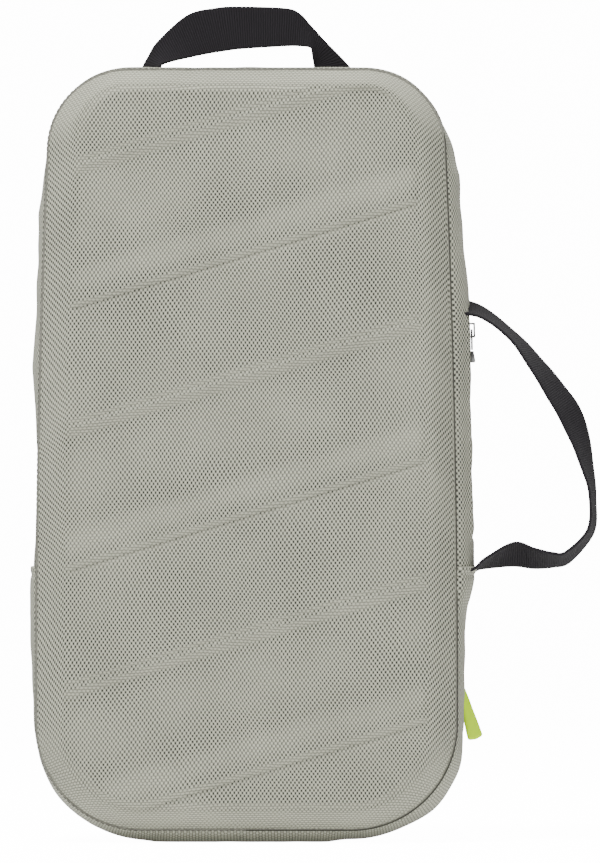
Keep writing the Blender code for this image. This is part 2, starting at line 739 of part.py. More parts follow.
def add_mesh_pocket():
    """A flat mesh pocket on the lid's pad: a front, three side lips and an elastic top edge."""
    half = MESH_WIDTH / 2
    top = MESH_FOOT + MESH_HEIGHT
    front_y = PAD_FACE_Y - MESH_STANDOFF
    lip_y = PAD_FACE_Y - GAP
    pocket = add_object(
        "mesh_pocket", box((-half, front_y, MESH_FOOT), (half, lip_y, top)), MESH
    )
    hollow = box(
        (-half + MESH_THICKNESS, front_y + MESH_THICKNESS, MESH_FOOT + MESH_THICKNESS),
        (half - MESH_THICKNESS, lip_y + 0.01, top + 0.01),
    )
    combine(pocket, add_cutter("mesh_pocket_hollow", hollow), "DIFFERENCE")
    middle = front_y + MESH_THICKNESS / 2
    add_object(
        "mesh_pocket_elastic",
        box(
            (-half, middle - ELASTIC_THICKNESS / 2, top + GAP),
            (half, middle + ELASTIC_THICKNESS / 2, top + GAP + ELASTIC_HEIGHT),
        ),
        WEBBING,
    )


# Webbing handles


def smooth_curve(points, steps):
    """A Catmull-Rom curve through the points, with this many steps between each two."""
    ends = [2 * points[0] - points[1], *points, 2 * points[-1] - points[-2]]
    curve = []
    for i in range(1, len(ends) - 2):
        before, here, after, beyond = ends[i - 1 : i + 3]
        for step in range(steps):
            t = step / steps
            curve.append(
                0.5
                * (
                    2 * here
                    + (after - before) * t
                    + (2 * before - 5 * here + 4 * after - beyond) * t * t
                    + (3 * here - before - 3 * after + beyond) * t * t * t
                )
            )
    return curve + [points[-1]]


def ribbon(name, path, origin):
    """Webbing bent along a path in the XZ plane, its width along Y."""
    rows = []
    half = WEBBING_WIDTH / 2
    for i, point in enumerate(path):
        ahead = path[min(i + 1, len(path) - 1)] - path[max(i - 1, 0)]
        across = Vector((-ahead.z, 0, ahead.x)).normalized() * WEBBING_THICKNESS / 2
        deep = Vector((0, half, 0))
        rows.append(
            [point + across - deep, point + across + deep, point - across + deep,
             point - across - deep]
        )
    add_object(name, grid_solid(rows, False, True), WEBBING, origin)


def side_handle_route():
    """Middle line of the side handle: it hangs in a slack loop between its two anchors."""
    upper = side_point(WALL_OUT + 2 * GAP, 0, POCKET_TOP + 0.0030)
    lower = side_point(WALL_OUT + 2 * GAP, 0, GUSSET_JOIN_HEIGHT + GAP / 2)
    drops = (
        (upper, 0.0215, -0.0095),
        (upper, 0.0425, -0.0340),
        (upper, 0.0625, -0.0660),
        (upper, 0.0725, -0.0990),
        (lower, 0.0695, 0.0250),
        (lower, 0.0545, 0.0075),
        (lower, 0.0355, 0.0060),
        (lower, 0.0175, 0.0080),
    )
    middle = [anchor + Vector((out, 0, up)) for anchor, out, up in drops]
    return smooth_curve([upper, *middle, lower], 4)


def add_side_handle():
    route = side_handle_route()
    upper_out = route[0].x + SIDE_STUB
    lower_out = route[-1].x + SIDE_STUB
    upper_end = next(i for i, point in enumerate(route) if point.x >= upper_out)
    lower_start = len(route) - 1
    while route[lower_start].x < lower_out:
        lower_start -= 1
    pivot = (route[upper_end] + route[lower_start]) / 2
    step = (route[upper_end + 1] - route[upper_end]).normalized() * GAP
    back = (route[lower_start - 1] - route[lower_start]).normalized() * GAP
    ribbon("side_handle_end_upper", route[: upper_end + 1], (0, 0, 0))
    ribbon("side_handle_end_lower", route[lower_start:], (0, 0, 0))
    loop = [route[upper_end] + step, *route[upper_end + 1 : lower_start],
            route[lower_start] + back]
    ribbon("side_handle", loop, pivot)


def flat_webbing(name, corners, origin):
    """A flat piece of webbing cut to an outline in the XZ plane."""
    half = WEBBING_THICKNESS / 2
    front = [Vector((x, -half, z)) for x, z in corners]
    back = [Vector((x, half, z)) for x, z in corners]
    add_object(name, grid_solid([front, back], False, True), WEBBING, origin)


def add_top_handle():
    """The top handle lies as a low flat arch, its grip turned to face front and back."""
    wall = PANEL_TOP + SWELL_TOP + GAP
    hinge = wall + TOP_STUB
    left_outer = -0.0630
    left_inner = -0.0480
    right_inner = 0.0402
    right_outer = 0.0610
    crest = [(-0.0500, 0.0155), (-0.0330, 0.0285), (-0.0050, 0.0340), (0.0230, 0.0325),
             (0.0370, 0.0240)]
    grip = [(0.0390, 0.0085), (0.0200, 0.0090), (-0.0150, 0.0040)]
    foot = hinge + GAP
    corners = [(left_outer, foot)]
    corners += [(x, hinge + rise) for x, rise in crest]
    corners += [(right_outer, foot), (right_inner, foot)]
    corners += [(x, hinge + rise) for x, rise in grip]
    corners += [(left_inner, foot)]
    flat_webbing("top_handle", corners, ((left_inner + right_inner) / 2, 0, hinge))
    for name, low, high in (
        ("left", left_outer, left_inner),
        ("right", right_inner, right_outer),
    ):
        ends = [(low, wall), (low, hinge), (high, hinge), (high, wall)]
        flat_webbing(f"top_handle_end_{name}", ends, (0, 0, 0))


clear_scene()
add_panels()
add_side_walls()
add_bindings()
add_main_zip()
add_main_sliders()
add_side_pocket()
add_foam()
add_mesh_pocket()
add_side_handle()
add_top_handle()
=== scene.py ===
# %% [markdown]
# # A semi-rigid carrying case, made around its solid model
#
# The case has two moulded panels in heavy nylon, soft walls between them, a zip round three sides,
# webbing handles and a foam insert. The solid model fixes where everything is and how it moves.
# Here each soft piece is shaped as fabric, and each finish gets its weave, rib or grain.

import math

import bpy
import numpy as np
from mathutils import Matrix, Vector


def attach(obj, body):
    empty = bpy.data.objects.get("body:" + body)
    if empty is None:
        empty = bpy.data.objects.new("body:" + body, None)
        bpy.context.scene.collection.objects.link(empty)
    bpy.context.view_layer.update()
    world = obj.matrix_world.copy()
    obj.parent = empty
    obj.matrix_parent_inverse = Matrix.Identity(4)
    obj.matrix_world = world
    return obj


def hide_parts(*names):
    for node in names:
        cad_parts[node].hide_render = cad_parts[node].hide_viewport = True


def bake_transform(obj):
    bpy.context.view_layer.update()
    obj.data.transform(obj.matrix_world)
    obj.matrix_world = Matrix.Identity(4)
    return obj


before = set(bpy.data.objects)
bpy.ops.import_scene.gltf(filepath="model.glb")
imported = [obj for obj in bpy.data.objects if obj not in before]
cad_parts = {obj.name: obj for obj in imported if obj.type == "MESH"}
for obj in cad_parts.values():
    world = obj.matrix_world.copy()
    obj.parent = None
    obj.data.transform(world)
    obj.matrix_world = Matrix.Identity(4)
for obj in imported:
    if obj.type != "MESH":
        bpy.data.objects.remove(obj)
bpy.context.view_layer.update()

# %% [markdown]
# ## The seam line
#
# Every wall, zip and binding follows one line: the seam where a panel meets the soft wall. It is
# two long sides that lean in towards the top, joined by four round corners. The line is
# worked out once, as evenly spaced points with their outward direction, and everything is hung on it.

# %% Sizes of the case
FOOT_Z, TOP_Z = 0.0084, 0.4647
FOOT_HALF, TOP_HALF = 0.1260, 0.1190
FOOT_RADIUS, TOP_RADIUS = 0.063, 0.0485
BOW = 0.0020
BACK_SEAM_Y, BACK_FACE_Y = -0.01905, -0.03305
WALL_EDGE_Y, ZIP_Y, LID_EDGE_Y = 0.01875, 0.02875, 0.03875
LID_SEAM_Y, LID_FACE_Y = 0.05305, 0.06705
JOIN_Z = 0.1650
POCKET_LOW, POCKET_HIGH = 0.1900, 0.3180


# %% The seam line as points
def smooth(value):
    """A soft step: 0 below 0, 1 above 1, with no corner at either end."""
    value = np.clip(value, 0.0, 1.0)
    return value * value * (3 - 2 * value)


def seam_line():
    """Points round the seam, anticlockwise from the middle of the foot: place, outward way, length."""
    foot = np.array([FOOT_HALF - FOOT_RADIUS, FOOT_Z + FOOT_RADIUS])
    top = np.array([TOP_HALF - TOP_RADIUS, TOP_Z - TOP_RADIUS])
    apart = top - foot
    tilt = math.asin((FOOT_RADIUS - TOP_RADIUS) / np.hypot(*apart)) - math.atan2(*apart)
    quarter = math.pi / 2
    mirror = np.array([-1, 1])
    corners = (
        (foot, FOOT_RADIUS, -quarter, tilt, BOW),
        (top, TOP_RADIUS, tilt, quarter, 0),
        (top * mirror, TOP_RADIUS, quarter, math.pi - tilt, BOW),
        (foot * mirror, FOOT_RADIUS, math.pi - tilt, 3 * quarter, 0),
    )
    rows = []
    for number, (centre, radius, start, end, bow) in enumerate(corners):
        for angle in np.linspace(start, end, 61):
            out = np.array([math.cos(angle), math.sin(angle)])
            rows.append([*(centre + radius * out), *out])
        following, next_radius = corners[(number + 1) % 4][:2]
        begin, finish = centre + radius * out, following + next_radius * out
        for share in np.linspace(0, 1, 241)[1:-1]:
            place = begin + (finish - begin) * share + out * bow * 4 * share * (1 - share)
            rows.append([*place, *out])
    rows = np.array(rows)
    turn = len(rows) - 120
    rows = np.roll(rows, -turn, axis=0)
    rows = np.vstack([rows, rows[:1]])
    steps = np.hypot(*np.diff(rows[:, :2], axis=0).T)
    return rows, np.concatenate([[0], np.cumsum(steps)])


LINE, ALONG = seam_line()
LENGTH = ALONG[-1]
print(f"the seam is {LENGTH:.3f} m round")


def on_line(distance):
    """Place and outward way on the seam line, for distances along it."""
    found = [np.interp(np.mod(distance, LENGTH), ALONG, LINE[:, i]) for i in range(4)]
    x, z, nx, nz = found
    size = np.hypot(nx, nz)
    return x, z, nx / size, nz / size


def line_at_height(height, side):
    """The distance along the line where its left (-1) or right (1) side passes a height."""
    half = LENGTH / 2
    chosen = (ALONG < half) if side > 0 else (ALONG > half)
    heights, distances = LINE[chosen, 1], ALONG[chosen]
    order = np.argsort(heights)
    return float(np.interp(height, heights[order], distances[order]))


# %% [markdown]
# ## Helpers for shaping
#
# A sheet of fabric starts as a flat grid primitive. Each of its points is then moved by a rule
# that knows where it sits across and along the sheet. The same rule sets the UV map in metres,
# measured over the cloth, so that the weave keeps its size and bends with the surface.

# %% Grid helper
def deselect():
    if bpy.context.mode != "OBJECT":
        bpy.ops.object.mode_set(mode="OBJECT")
    bpy.ops.object.select_all(action="DESELECT")


def only(piece):
    """Makes this piece the one selected, active object."""
    deselect()
    piece.select_set(True)
    bpy.context.view_layer.objects.active = piece


def apply_modifier(piece, kind, **settings):
    """Adds a modifier of this kind with these settings, and applies it."""
    only(piece)
    modifier = piece.modifiers.new(kind.title(), kind)
    for name, value in settings.items():
        setattr(modifier, name, value)
    bpy.ops.object.modifier_apply(modifier=modifier.name)


def warped_grid(name, across, along, rule, thickness=0.0, joined=False, angle=40):
    """A grid primitive whose points are moved by rule(u, v), which gives places and cloth lengths."""
    deselect()
    bpy.ops.mesh.primitive_grid_add(x_subdivisions=across, y_subdivisions=along, size=2)
    piece = bpy.context.object
    piece.name = piece.data.name = name
    mesh = piece.data
    flat = np.empty(len(mesh.vertices) * 3)
    mesh.vertices.foreach_get("co", flat)
    flat = flat.reshape(-1, 3)
    places, cloth = rule((flat[:, 0] + 1) / 2, (flat[:, 1] + 1) / 2)
    mesh.vertices.foreach_set("co", np.ascontiguousarray(places, np.float64).ravel())
    corners = np.empty(len(mesh.loops), np.int32)
    mesh.loops.foreach_get("vertex_index", corners)
    layer = mesh.uv_layers.active or mesh.uv_layers.new(name="UVMap")
    layer.data.foreach_set("uv", np.ascontiguousarray(cloth[corners], np.float64).ravel())
    mesh.update()
    if joined:
        only(piece)
        bpy.ops.object.mode_set(mode="EDIT")
        bpy.ops.mesh.select_all(action="SELECT")
        bpy.ops.mesh.remove_doubles(threshold=0.00002)
        bpy.ops.mesh.normals_make_consistent(inside=False)
        bpy.ops.object.mode_set(mode="OBJECT")
    if thickness:
        apply_modifier(piece, "SOLIDIFY", thickness=abs(thickness), offset=math.copysign(1, thickness))
    only(piece)
    bpy.ops.object.shade_smooth_by_angle(angle=math.radians(angle))
    return piece


def turn_faces(piece):
    """Turns every face of a piece round."""
    only(piece)
    bpy.ops.object.mode_set(mode="EDIT")
    bpy.ops.mesh.select_all(action="SELECT")
    bpy.ops.mesh.flip_normals()
    bpy.ops.object.mode_set(mode="OBJECT")


def join(name, pieces):
    """Joins pieces into one object."""
    deselect()
    for piece in pieces:
        piece.select_set(True)
    bpy.context.view_layer.objects.active = pieces[0]
    bpy.ops.object.join()
    joined = bpy.context.object
    joined.name = joined.data.name = name
    return joined


def settle(piece, body, slot, *nodes):
    """Tells the frame what a piece rides on and which solids it stands for; slot is not used."""
    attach(piece, body)
    if nodes:
        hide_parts(*nodes)
    return piece


# %% [markdown]
# ## Helpers for finishes
#
# A weave is arithmetic: two sine waves, one across and one along, say which thread is on top.
# So a material here is mostly maths nodes. These helpers keep that short to write.

# %% Node helpers
def start_material(name, roughness, metallic=0.0, sheen=0.0, specular=0.5):
    """A new material with its Principled shader, whose plain values are set on its own sockets."""
    material = bpy.data.materials.new(name)
    material.use_nodes = True
    tree = material.node_tree
    shader = tree.nodes["Principled BSDF"]
    shader.inputs["Roughness"].default_value = roughness
    shader.inputs["Metallic"].default_value = metallic
    shader.inputs["Sheen Weight"].default_value = sheen
    shader.inputs["Specular IOR Level"].default_value = specular
    return material, tree, shader


def calc(tree, operation, *values):
    """One maths node. Each value is a number or another node's output."""
    node = tree.nodes.new("ShaderNodeMath")
    node.operation = operation
    for socket, value in zip(node.inputs, values):
        if isinstance(value, bpy.types.NodeSocket):
            tree.links.new(value, socket)
        else:
            socket.default_value = value
    return node.outputs[0]


def mix_colour(tree, factor, first, second):
    """A colour between two, which are values or outputs."""
    node = tree.nodes.new("ShaderNodeMix")
    node.data_type = "RGBA"
    for socket, value in zip((node.inputs[0], node.inputs[6], node.inputs[7]), (factor, first, second)):
        if isinstance(value, bpy.types.NodeSocket):
            tree.links.new(value, socket)
        elif isinstance(value, float):
            socket.default_value = value
        else:
            socket.default_value = (*value, 1)
    return node.outputs[2]


def cloth_place(tree, uv=True):
    """The place on the cloth in metres, as a vector and as its separate lengths."""
    coordinates = tree.nodes.new("ShaderNodeTexCoord")
    vector = coordinates.outputs["UV" if uv else "Object"]
    split = tree.nodes.new("ShaderNodeSeparateXYZ")
    tree.links.new(vector, split.inputs[0])
    return vector, *split.outputs


def noise(tree, vector, scale, detail=2.0, stretch=(1, 1, 1)):
    """A noise texture's value, on a vector that is stretched first."""
    mapping = tree.nodes.new("ShaderNodeMapping")
    mapping.inputs["Scale"].default_value = stretch
    texture = tree.nodes.new("ShaderNodeTexNoise")
    texture.inputs["Scale"].default_value = scale
    texture.inputs["Detail"].default_value = detail
    tree.links.new(vector, mapping.inputs["Vector"])
    tree.links.new(mapping.outputs[0], texture.inputs["Vector"])
    return texture.outputs[0]


def wave(tree, length, pitch, offset=0.0):
    """A sine that crosses zero every pitch metres."""
    turned = calc(tree, "MULTIPLY_ADD", length, math.pi / pitch, offset)
    return calc(tree, "SINE", turned)


def bump(tree, shader, height, distance, strength=1.0):
    """Gives the shader a relief of this height."""
    node = tree.nodes.new("ShaderNodeBump")
    node.inputs["Distance"].default_value = distance
    node.inputs["Strength"].default_value = strength
    tree.links.new(height, node.inputs["Height"])
    tree.links.new(node.outputs[0], shader.inputs["Normal"])


def paint(tree, shader, colour):
    tree.links.new(colour, shader.inputs["Base Color"])


def wear_material(piece, material):
    """Gives a piece this one material."""
    piece.data.materials.clear()
    piece.data.materials.append(material)


# %% [markdown]
# ## The woven nylon
#
# The panels and walls are a heavy plain weave. Warp and weft swap places in a chequerboard,
# and the warp is the fatter thread. So the warp stands up as beads, with a small sunk pit at each
# weft crossing; the colour follows this relief, with painted light on the beads and painted shade
# in the pits. Cells are about 1.2 mm across and 1.7 mm up. A slow noise
# lets the rows drift, as they do when cloth is pressed into a mould, and a fine one is the fibre.

# %% Woven nylon
CELL_ACROSS, CELL_UP = 0.00123, 0.00174


def woven(name, light, dark, relief=0.00020):
    """A plain weave: beads of warp, and sunk weft between them, with painted light on the beads and painted
    shade in the pits.
    """
    material, tree, shader = start_material(name, 0.78, sheen=0.06, specular=0.3)
    vector, u, v, _ = cloth_place(tree)
    drift = calc(tree, "SUBTRACT", noise(tree, vector, 9, 1), 0.5)
    wander = calc(tree, "SUBTRACT", noise(tree, vector, 110, 3), 0.5)
    u = calc(tree, "MULTIPLY_ADD", wander, 0.0008, calc(tree, "MULTIPLY_ADD", drift, 0.008, u))
    v = calc(tree, "MULTIPLY_ADD", wander, 0.0006, calc(tree, "MULTIPLY_ADD", drift, 0.014, v))
    sine_u, sine_v = wave(tree, u, CELL_ACROSS), wave(tree, v, CELL_UP)
    both = calc(tree, "MULTIPLY", sine_u, sine_v)
    # The pits sink the relief, and through the colour below they are painted shade; the beads are painted
    # light.
    pit = calc(tree, "POWER", calc(tree, "MAXIMUM", calc(tree, "MULTIPLY", both, -1.0), 0.0), 0.6)
    bead = calc(tree, "POWER", calc(tree, "MAXIMUM", both, 0.0), 0.6)
    fibre = calc(tree, "SUBTRACT", noise(tree, vector, 1500, 3, (1.7, 0.6, 1)), 0.5)
    height = calc(tree, "MULTIPLY_ADD", bead, 0.42, 0.55)
    height = calc(tree, "MULTIPLY_ADD", pit, -0.66, height)
    normal = tree.nodes.new("ShaderNodeTexCoord").outputs["Normal"]
    parts = tree.nodes.new("ShaderNodeSeparateXYZ")
    tree.links.new(normal, parts.inputs[0])
    steep = calc(tree, "ABSOLUTE", parts.outputs["Z"], 0.0)
    steep = calc(tree, "MULTIPLY_ADD", noise(tree, vector, 14, 2), 0.7, calc(tree, "MULTIPLY", steep, 2.0))
    steep = calc(tree, "MINIMUM", calc(tree, "MAXIMUM", calc(tree, "SUBTRACT", steep, 0.34), 0.0), 0.6)
    rows = calc(tree, "MULTIPLY_ADD", calc(tree, "ABSOLUTE", sine_v, 0.0), 0.85, 0.12)
    height = calc(tree, "MULTIPLY_ADD", calc(tree, "SUBTRACT", rows, height), steep, height)
    height = calc(tree, "MULTIPLY_ADD", fibre, 0.30, height)
    cloud = calc(tree, "SUBTRACT", noise(tree, vector, 22, 3), 0.5)
    shade = calc(tree, "MULTIPLY_ADD", cloud, 0.18, height)
    shade = calc(tree, "MULTIPLY_ADD", fibre, 0.55, shade)
    paint(tree, shader, mix_colour(tree, shade, dark, light))
    bump(tree, shader, height, relief, 1.0)
    return material


# The second, near-black colour is the painted shade in the pits of the weave.
STONE = woven("woven_nylon_stone", (0.58, 0.584, 0.462), (0.014, 0.015, 0.011))

# %% [markdown]
# ## Webbing, tape and small finishes
#
# Webbing is woven in fine ribs that run across it. Zip tape is the same idea, finer. The linings
# are knitted, the foam has a brushed face, and the hardware is die-cast metal with a satin skin.

# %% Ribbed webbing and tapes
def ribbed(name, light, dark, rib, relief, across=0.0006):
    """Webbing or tape: ribs across the length, broken up by the lengthwise threads."""
    material, tree, shader = start_material(name, 0.80, sheen=0.03, specular=0.16)
    vector, u, v, _ = cloth_place(tree)
    wander = calc(tree, "SUBTRACT", noise(tree, vector, 160, 2), 0.5)
    v = calc(tree, "MULTIPLY_ADD", wander, 0.0006, v)
    ribs = calc(tree, "ABSOLUTE", wave(tree, v, rib))
    threads = calc(tree, "ABSOLUTE", wave(tree, u, across))
    threads = calc(tree, "MULTIPLY_ADD", threads, 0.4, 0.6)
    height = calc(tree, "MULTIPLY", calc(tree, "POWER", ribs, 0.8), threads)
    speck = noise(tree, vector, 1700, 2, (1.5, 0.6, 1))
    shade = calc(tree, "MULTIPLY_ADD", calc(tree, "SUBTRACT", speck, 0.5), 0.5, height)
    paint(tree, shader, mix_colour(tree, shade, dark, light))
    bump(tree, shader, height, relief, 0.9)
    return material


WEBBING = ribbed("charcoal_webbing", (0.019, 0.0165, 0.0200), (0.0022, 0.0020, 0.0025), 0.0014, 0.00022)
TAPE = ribbed("zip_tape_dark", (0.040, 0.040, 0.042), (0.012, 0.012, 0.013), 0.0007, 0.0001, 0.0004)
BINDING = ribbed("bias_binding_black", (0.030, 0.030, 0.033), (0.007, 0.007, 0.008), 0.0009, 0.0001, 0.0005)


# %% Plain finishes with their own grain
def grained(
    name, colour, dark, roughness, scale, relief, metallic=0.0, sheen=0.0, specular=0.5, stretch=(1, 1, 1)
):
    """A finish whose colour and relief come from one noise, in the object's own space."""
    material, tree, shader = start_material(name, roughness, metallic, sheen, specular)
    vector = cloth_place(tree, uv=False)[0]
    grain = noise(tree, vector, scale, 4, stretch)
    shade = calc(tree, "MULTIPLY_ADD", grain, 1.6, -0.3)
    paint(tree, shader, mix_colour(tree, shade, dark, colour))
    bump(tree, shader, grain, relief, 0.8)
    return material


LINING = grained(
    "knitted_lining", (0.062, 0.064, 0.070), (0.030, 0.031, 0.035), 0.85, 1400, 0.00015, sheen=0.2
)
FOAM = grained("brushed_foam", (0.055, 0.056, 0.062), (0.024, 0.024, 0.028), 0.93, 2200, 0.00022, sheen=0.3)
THREAD = grained("seam_thread", (0.060, 0.059, 0.045), (0.022, 0.022, 0.016), 0.8, 3000, 0.0001)
# The seam cord's colour, darker than the nylon, is painted shade for the crease at the seam.
SEAM_CORD_SHADE = grained("seam_cord_shade", (0.270, 0.267, 0.222), (0.110, 0.110, 0.092), 0.9, 700, 0.0002)
COIL = grained("nylon_coil", (0.040, 0.041, 0.044), (0.020, 0.020, 0.022), 0.42, 900, 0.00004)
METAL = grained("satin_die_cast", (0.26, 0.26, 0.255), (0.13, 0.13, 0.127), 0.34, 500, 0.00003, metallic=1.0)
NEON = grained("neon_soft_rubber", (0.66, 0.96, 0.0), (0.54, 0.86, 0.0), 0.55, 260, 0.00012, specular=0.15)
# The fluorescent tab is given a small steady glow: painted light that brightens it beyond what the lamps
# give.
neon_shader = NEON.node_tree.nodes["Principled BSDF"]
neon_shader.inputs["Emission Color"].default_value = (0.50, 1.0, 0.0, 1)
neon_shader.inputs["Emission Strength"].default_value = 0.12
NET = grained("stretch_net", (0.030, 0.030, 0.034), (0.016, 0.016, 0.018), 0.8, 1500, 0.00008)
print(len(bpy.data.materials), "materials so far, with those of the frame")

# %% [markdown]
# ## The moulded panels
#
# A panel is foam board with the nylon bonded over it, pressed in a hot mould. The mould leaves a
# flat face with rounded slopes down to the seam, and three wide bands that climb to the right.
# Each band has one crisp lower edge and one long soft upper edge. The panel starts as a grid whose
# rows are as wide as the case at their height. Its depth comes from the distance to the seam.

# %% Where the rows of a panel lie
def row_heights(count):
    """Heights from foot to top, close together where the corners turn quickly."""
    angles = np.linspace(-math.pi / 2, 0, count // 8)
    low = FOOT_Z + FOOT_RADIUS + FOOT_RADIUS * np.sin(angles)
    high = TOP_Z - TOP_RADIUS - TOP_RADIUS * np.sin(angles[::-1])
    middle = np.linspace(low[-1], high[0], count - 2 * len(low) + 3)[1:-1]
    return np.concatenate([low, middle, high])


def half_width(height):
    right = LINE[: len(LINE) // 2 + 1]
    order = np.argsort(right[:, 1], kind="stable")
    kept = order[right[order, 0] >= FOOT_HALF - FOOT_RADIUS - 0.002]
    return np.interp(height, right[kept, 1], right[kept, 0])


def to_seam(x, z):
    """Distance from each point to the seam line, and the number of the nearest point on it."""
    fine = LINE[:-1:2]
    best = np.full(len(x), 9.0)
    number = np.zeros(len(x), int)
    for i, (px, pz) in enumerate(fine[:, :2]):
        gap = (x - px) ** 2 + (z - pz) ** 2
        nearer = gap < best
        best[nearer] = gap[nearer]
        number[nearer] = i
    out = fine[number]
    inward = (out[:, 0] - x) * out[:, 2] + (out[:, 1] - z) * out[:, 3]
    return np.maximum(inward, 0), out


# %% The relief of a panel
SLOPE_SIDE, SLOPE_TOP, SLOPE_FOOT = 0.0165, 0.0100, 0.0125
BAND_FIRST, BAND_HEIGHT, BAND_PITCH = 0.0410, 0.0850, 0.1565
BAND_RISE = math.tan(math.radians(17))
PANEL_SAG = 0.011
BAND_CROWN, BAND_HOLLOW, BAND_CREASE = 0.0015, 0.0023, 0.0009


def bands(x, z, inside):
    """How far the three climbing bands stand out of the face, in metres."""
    relief = np.zeros(len(x))
    level = z - BAND_RISE * x
    for number in range(3):
        up = level - (BAND_FIRST + number * BAND_PITCH)
        step = smooth(up / 0.0036 + 0.5)
        crown = 1 - smooth((up - 0.005) / 0.020)
        sinking = smooth((up - 0.030) / (BAND_HEIGHT - 0.037))
        hollow = sinking * (1 - smooth((up - BAND_HEIGHT + 0.0075) / 0.0080))
        relief += BAND_CROWN * step * crown - BAND_HOLLOW * hollow
        relief -= 0.7 * BAND_CREASE * np.exp(-(((up + 0.0014) / 0.0014) ** 2))
        relief -= BAND_CREASE * np.exp(-(((up - BAND_HEIGHT - 0.0010) / 0.0013) ** 2))
    return relief * smooth((inside - 1.0) / 0.22)


def panel_rule(seam_y, face_y, inset=0.0, relief=1.0):
    """The rule that shapes a panel between its seam and its face, looking along Y."""
    rows = row_heights(PANEL_ROWS + 1)
    way = math.copysign(1, face_y - seam_y)
    depth = abs(face_y - seam_y)

    def rule(u, v):
        z = np.interp(v, np.linspace(0, 1, len(rows)), rows)
        x = (2 * u - 1) * half_width(z)
        distance, out = to_seam(x, z)
        nx, nz = out[:, 2], out[:, 3]
        end = np.where(nz > 0, SLOPE_TOP, SLOPE_FOOT)
        slope = SLOPE_SIDE * nx**2 + end * nz**2
        share = np.minimum(distance / slope, 1)
        lift = share * (1.75 - 0.75 * share) * (1 - 0.12 * (1 - share) ** 3)
        lift = np.where(share >= 1, 1, lift)
        lift = lift - 0.060 * np.exp(-(((distance / slope - 1) / 0.15) ** 2))
        wave_low = np.sin(31 * x + 17 * z + 1.3) * np.sin(23 * z - 12 * x + 0.4)
        puff = 0.00035 * wave_low * smooth(distance / 0.03)
        y = depth * lift + relief * bands(x, z, distance / slope) + puff
        x = x - nx * inset * (1 - share)
        z = z - nz * inset * (1 - share)
        places = np.stack([x, seam_y + way * y, z], axis=1)
        over = np.sqrt(slope**2 + (depth * 0.9) ** 2) - slope
        stretch = over * (1 - share)
        sag = PANEL_SAG * nx**2 * (1 - share)
        cloth = np.stack([x + nx * stretch, z + nz * stretch + sag], axis=1)
        return places, cloth

    return rule


# %% Make the outer panels
PANEL_ACROSS, PANEL_ROWS = 122, 390

back_rule = panel_rule(BACK_SEAM_Y, BACK_FACE_Y)
back_panel = warped_grid("back_panel_fabric", PANEL_ACROSS, PANEL_ROWS, back_rule, thickness=-0.0016)
wear_material(back_panel, STONE)
settle(back_panel, "case", "back_shell", "back_shell")

lid_panel = warped_grid("lid_panel_fabric", PANEL_ACROSS, PANEL_ROWS, panel_rule(LID_SEAM_Y, LID_FACE_Y))
turn_faces(lid_panel)
apply_modifier(lid_panel, "SOLIDIFY", thickness=0.0016, offset=-1)
wear_material(lid_panel, STONE)
settle(lid_panel, "lid", "lid_shell", "lid_shell")
print("panels:", len(back_panel.data.polygons), "faces each")

# %% [markdown]
# ## The soft walls
#
# The wall between the back panel and the zip is one thickness of nylon with no board in it. It
# is cut in two pieces: a long one over the top, and a shorter one round the foot, which
# laps over the first at each side. The wall billows outwards, most of all round the side pocket.
# A few heights say how far it billows: where the cloth is fullest or tightest, and where the lap,
# the pocket and the corners change it. Between two of them it changes evenly.

# %% How far the walls billow
# Each pair is a height in metres, and how far the cloth stands out there in millimetres.
RIGHT_SWELL = (
    (0.025, 10.0),  # foot corner
    (0.066, 3.5),  # waist
    (0.142, 7.3),  # under the lap
    (0.166, 12.6),  # foot of the pocket
    (0.325, 13.0),  # top of the pocket
    (0.376, 9.2),
    (0.402, 8.0),  # start of the top corner
    (0.432, 1.2),
)
LEFT_SWELL = (
    (0.020, 3.4),  # foot corner
    (0.056, 0.8),  # waist
    (0.138, 5.4),  # over the lap
    (0.178, 3.2),
    (0.230, 2.2),  # tight stretch
    (0.286, 6.9),  # loose stretch
    (0.320, 5.2),
    (0.378, 4.8),
    (0.424, 0.0),  # start of the top corner
)


def bulge(x, z, nx, nz):
    """How far the wall stands out past the seam line at its fullest."""
    straight = np.clip((z - FOOT_Z - FOOT_RADIUS) / (TOP_Z - TOP_RADIUS - FOOT_Z - FOOT_RADIUS), 0, 1)
    bow = 4 * BOW * straight * (1 - straight)
    right, left = (np.interp(z, *np.array(swell).T) / 1000 - bow for swell in (RIGHT_SWELL, LEFT_SWELL))
    foot = 0.0084 * (1 - 0.5 * smooth((-x - 0.045) / 0.045) - 0.3 * smooth((x - 0.035) / 0.03))
    side = np.where(nx > 0, right, left)
    end = np.where(nz > 0, 0.0016, foot)
    return side * nx**2 + end * nz**2


def rounded(share, fullness=0.62):
    """A billow across the wall: 0 at its edges, and nearly level over its middle."""
    return np.sin(math.pi * np.clip(share, 0, 1)) ** fullness


def slot_shape(y, z, nx):
    """The sunk slot of the side pocket and the two lips that stand beside it."""
    inside = smooth((z - POCKET_LOW + 0.010) / 0.008) * smooth((POCKET_HIGH + 0.006 - z) / 0.007)
    sunk = -0.0031 * (1 - smooth((np.abs(y) - 0.0052) / 0.0014))
    lips = 0.0011 * np.exp(-(((np.abs(y) - 0.0084) / 0.0019) ** 2))
    return np.where(nx > 0.9, inside * (sunk + lips), 0)


def creases(distance, share, size):
    """Small soft wrinkles that run across the wall, as in cloth that is sewn to a curve."""
    first = np.sin(distance * 95 + 3 * np.sin(distance * 21))
    second = np.sin(distance * 233 + 5 * share + 2 * np.sin(distance * 37))
    return size * (0.6 * first + 0.4 * second) * np.sin(math.pi * share)


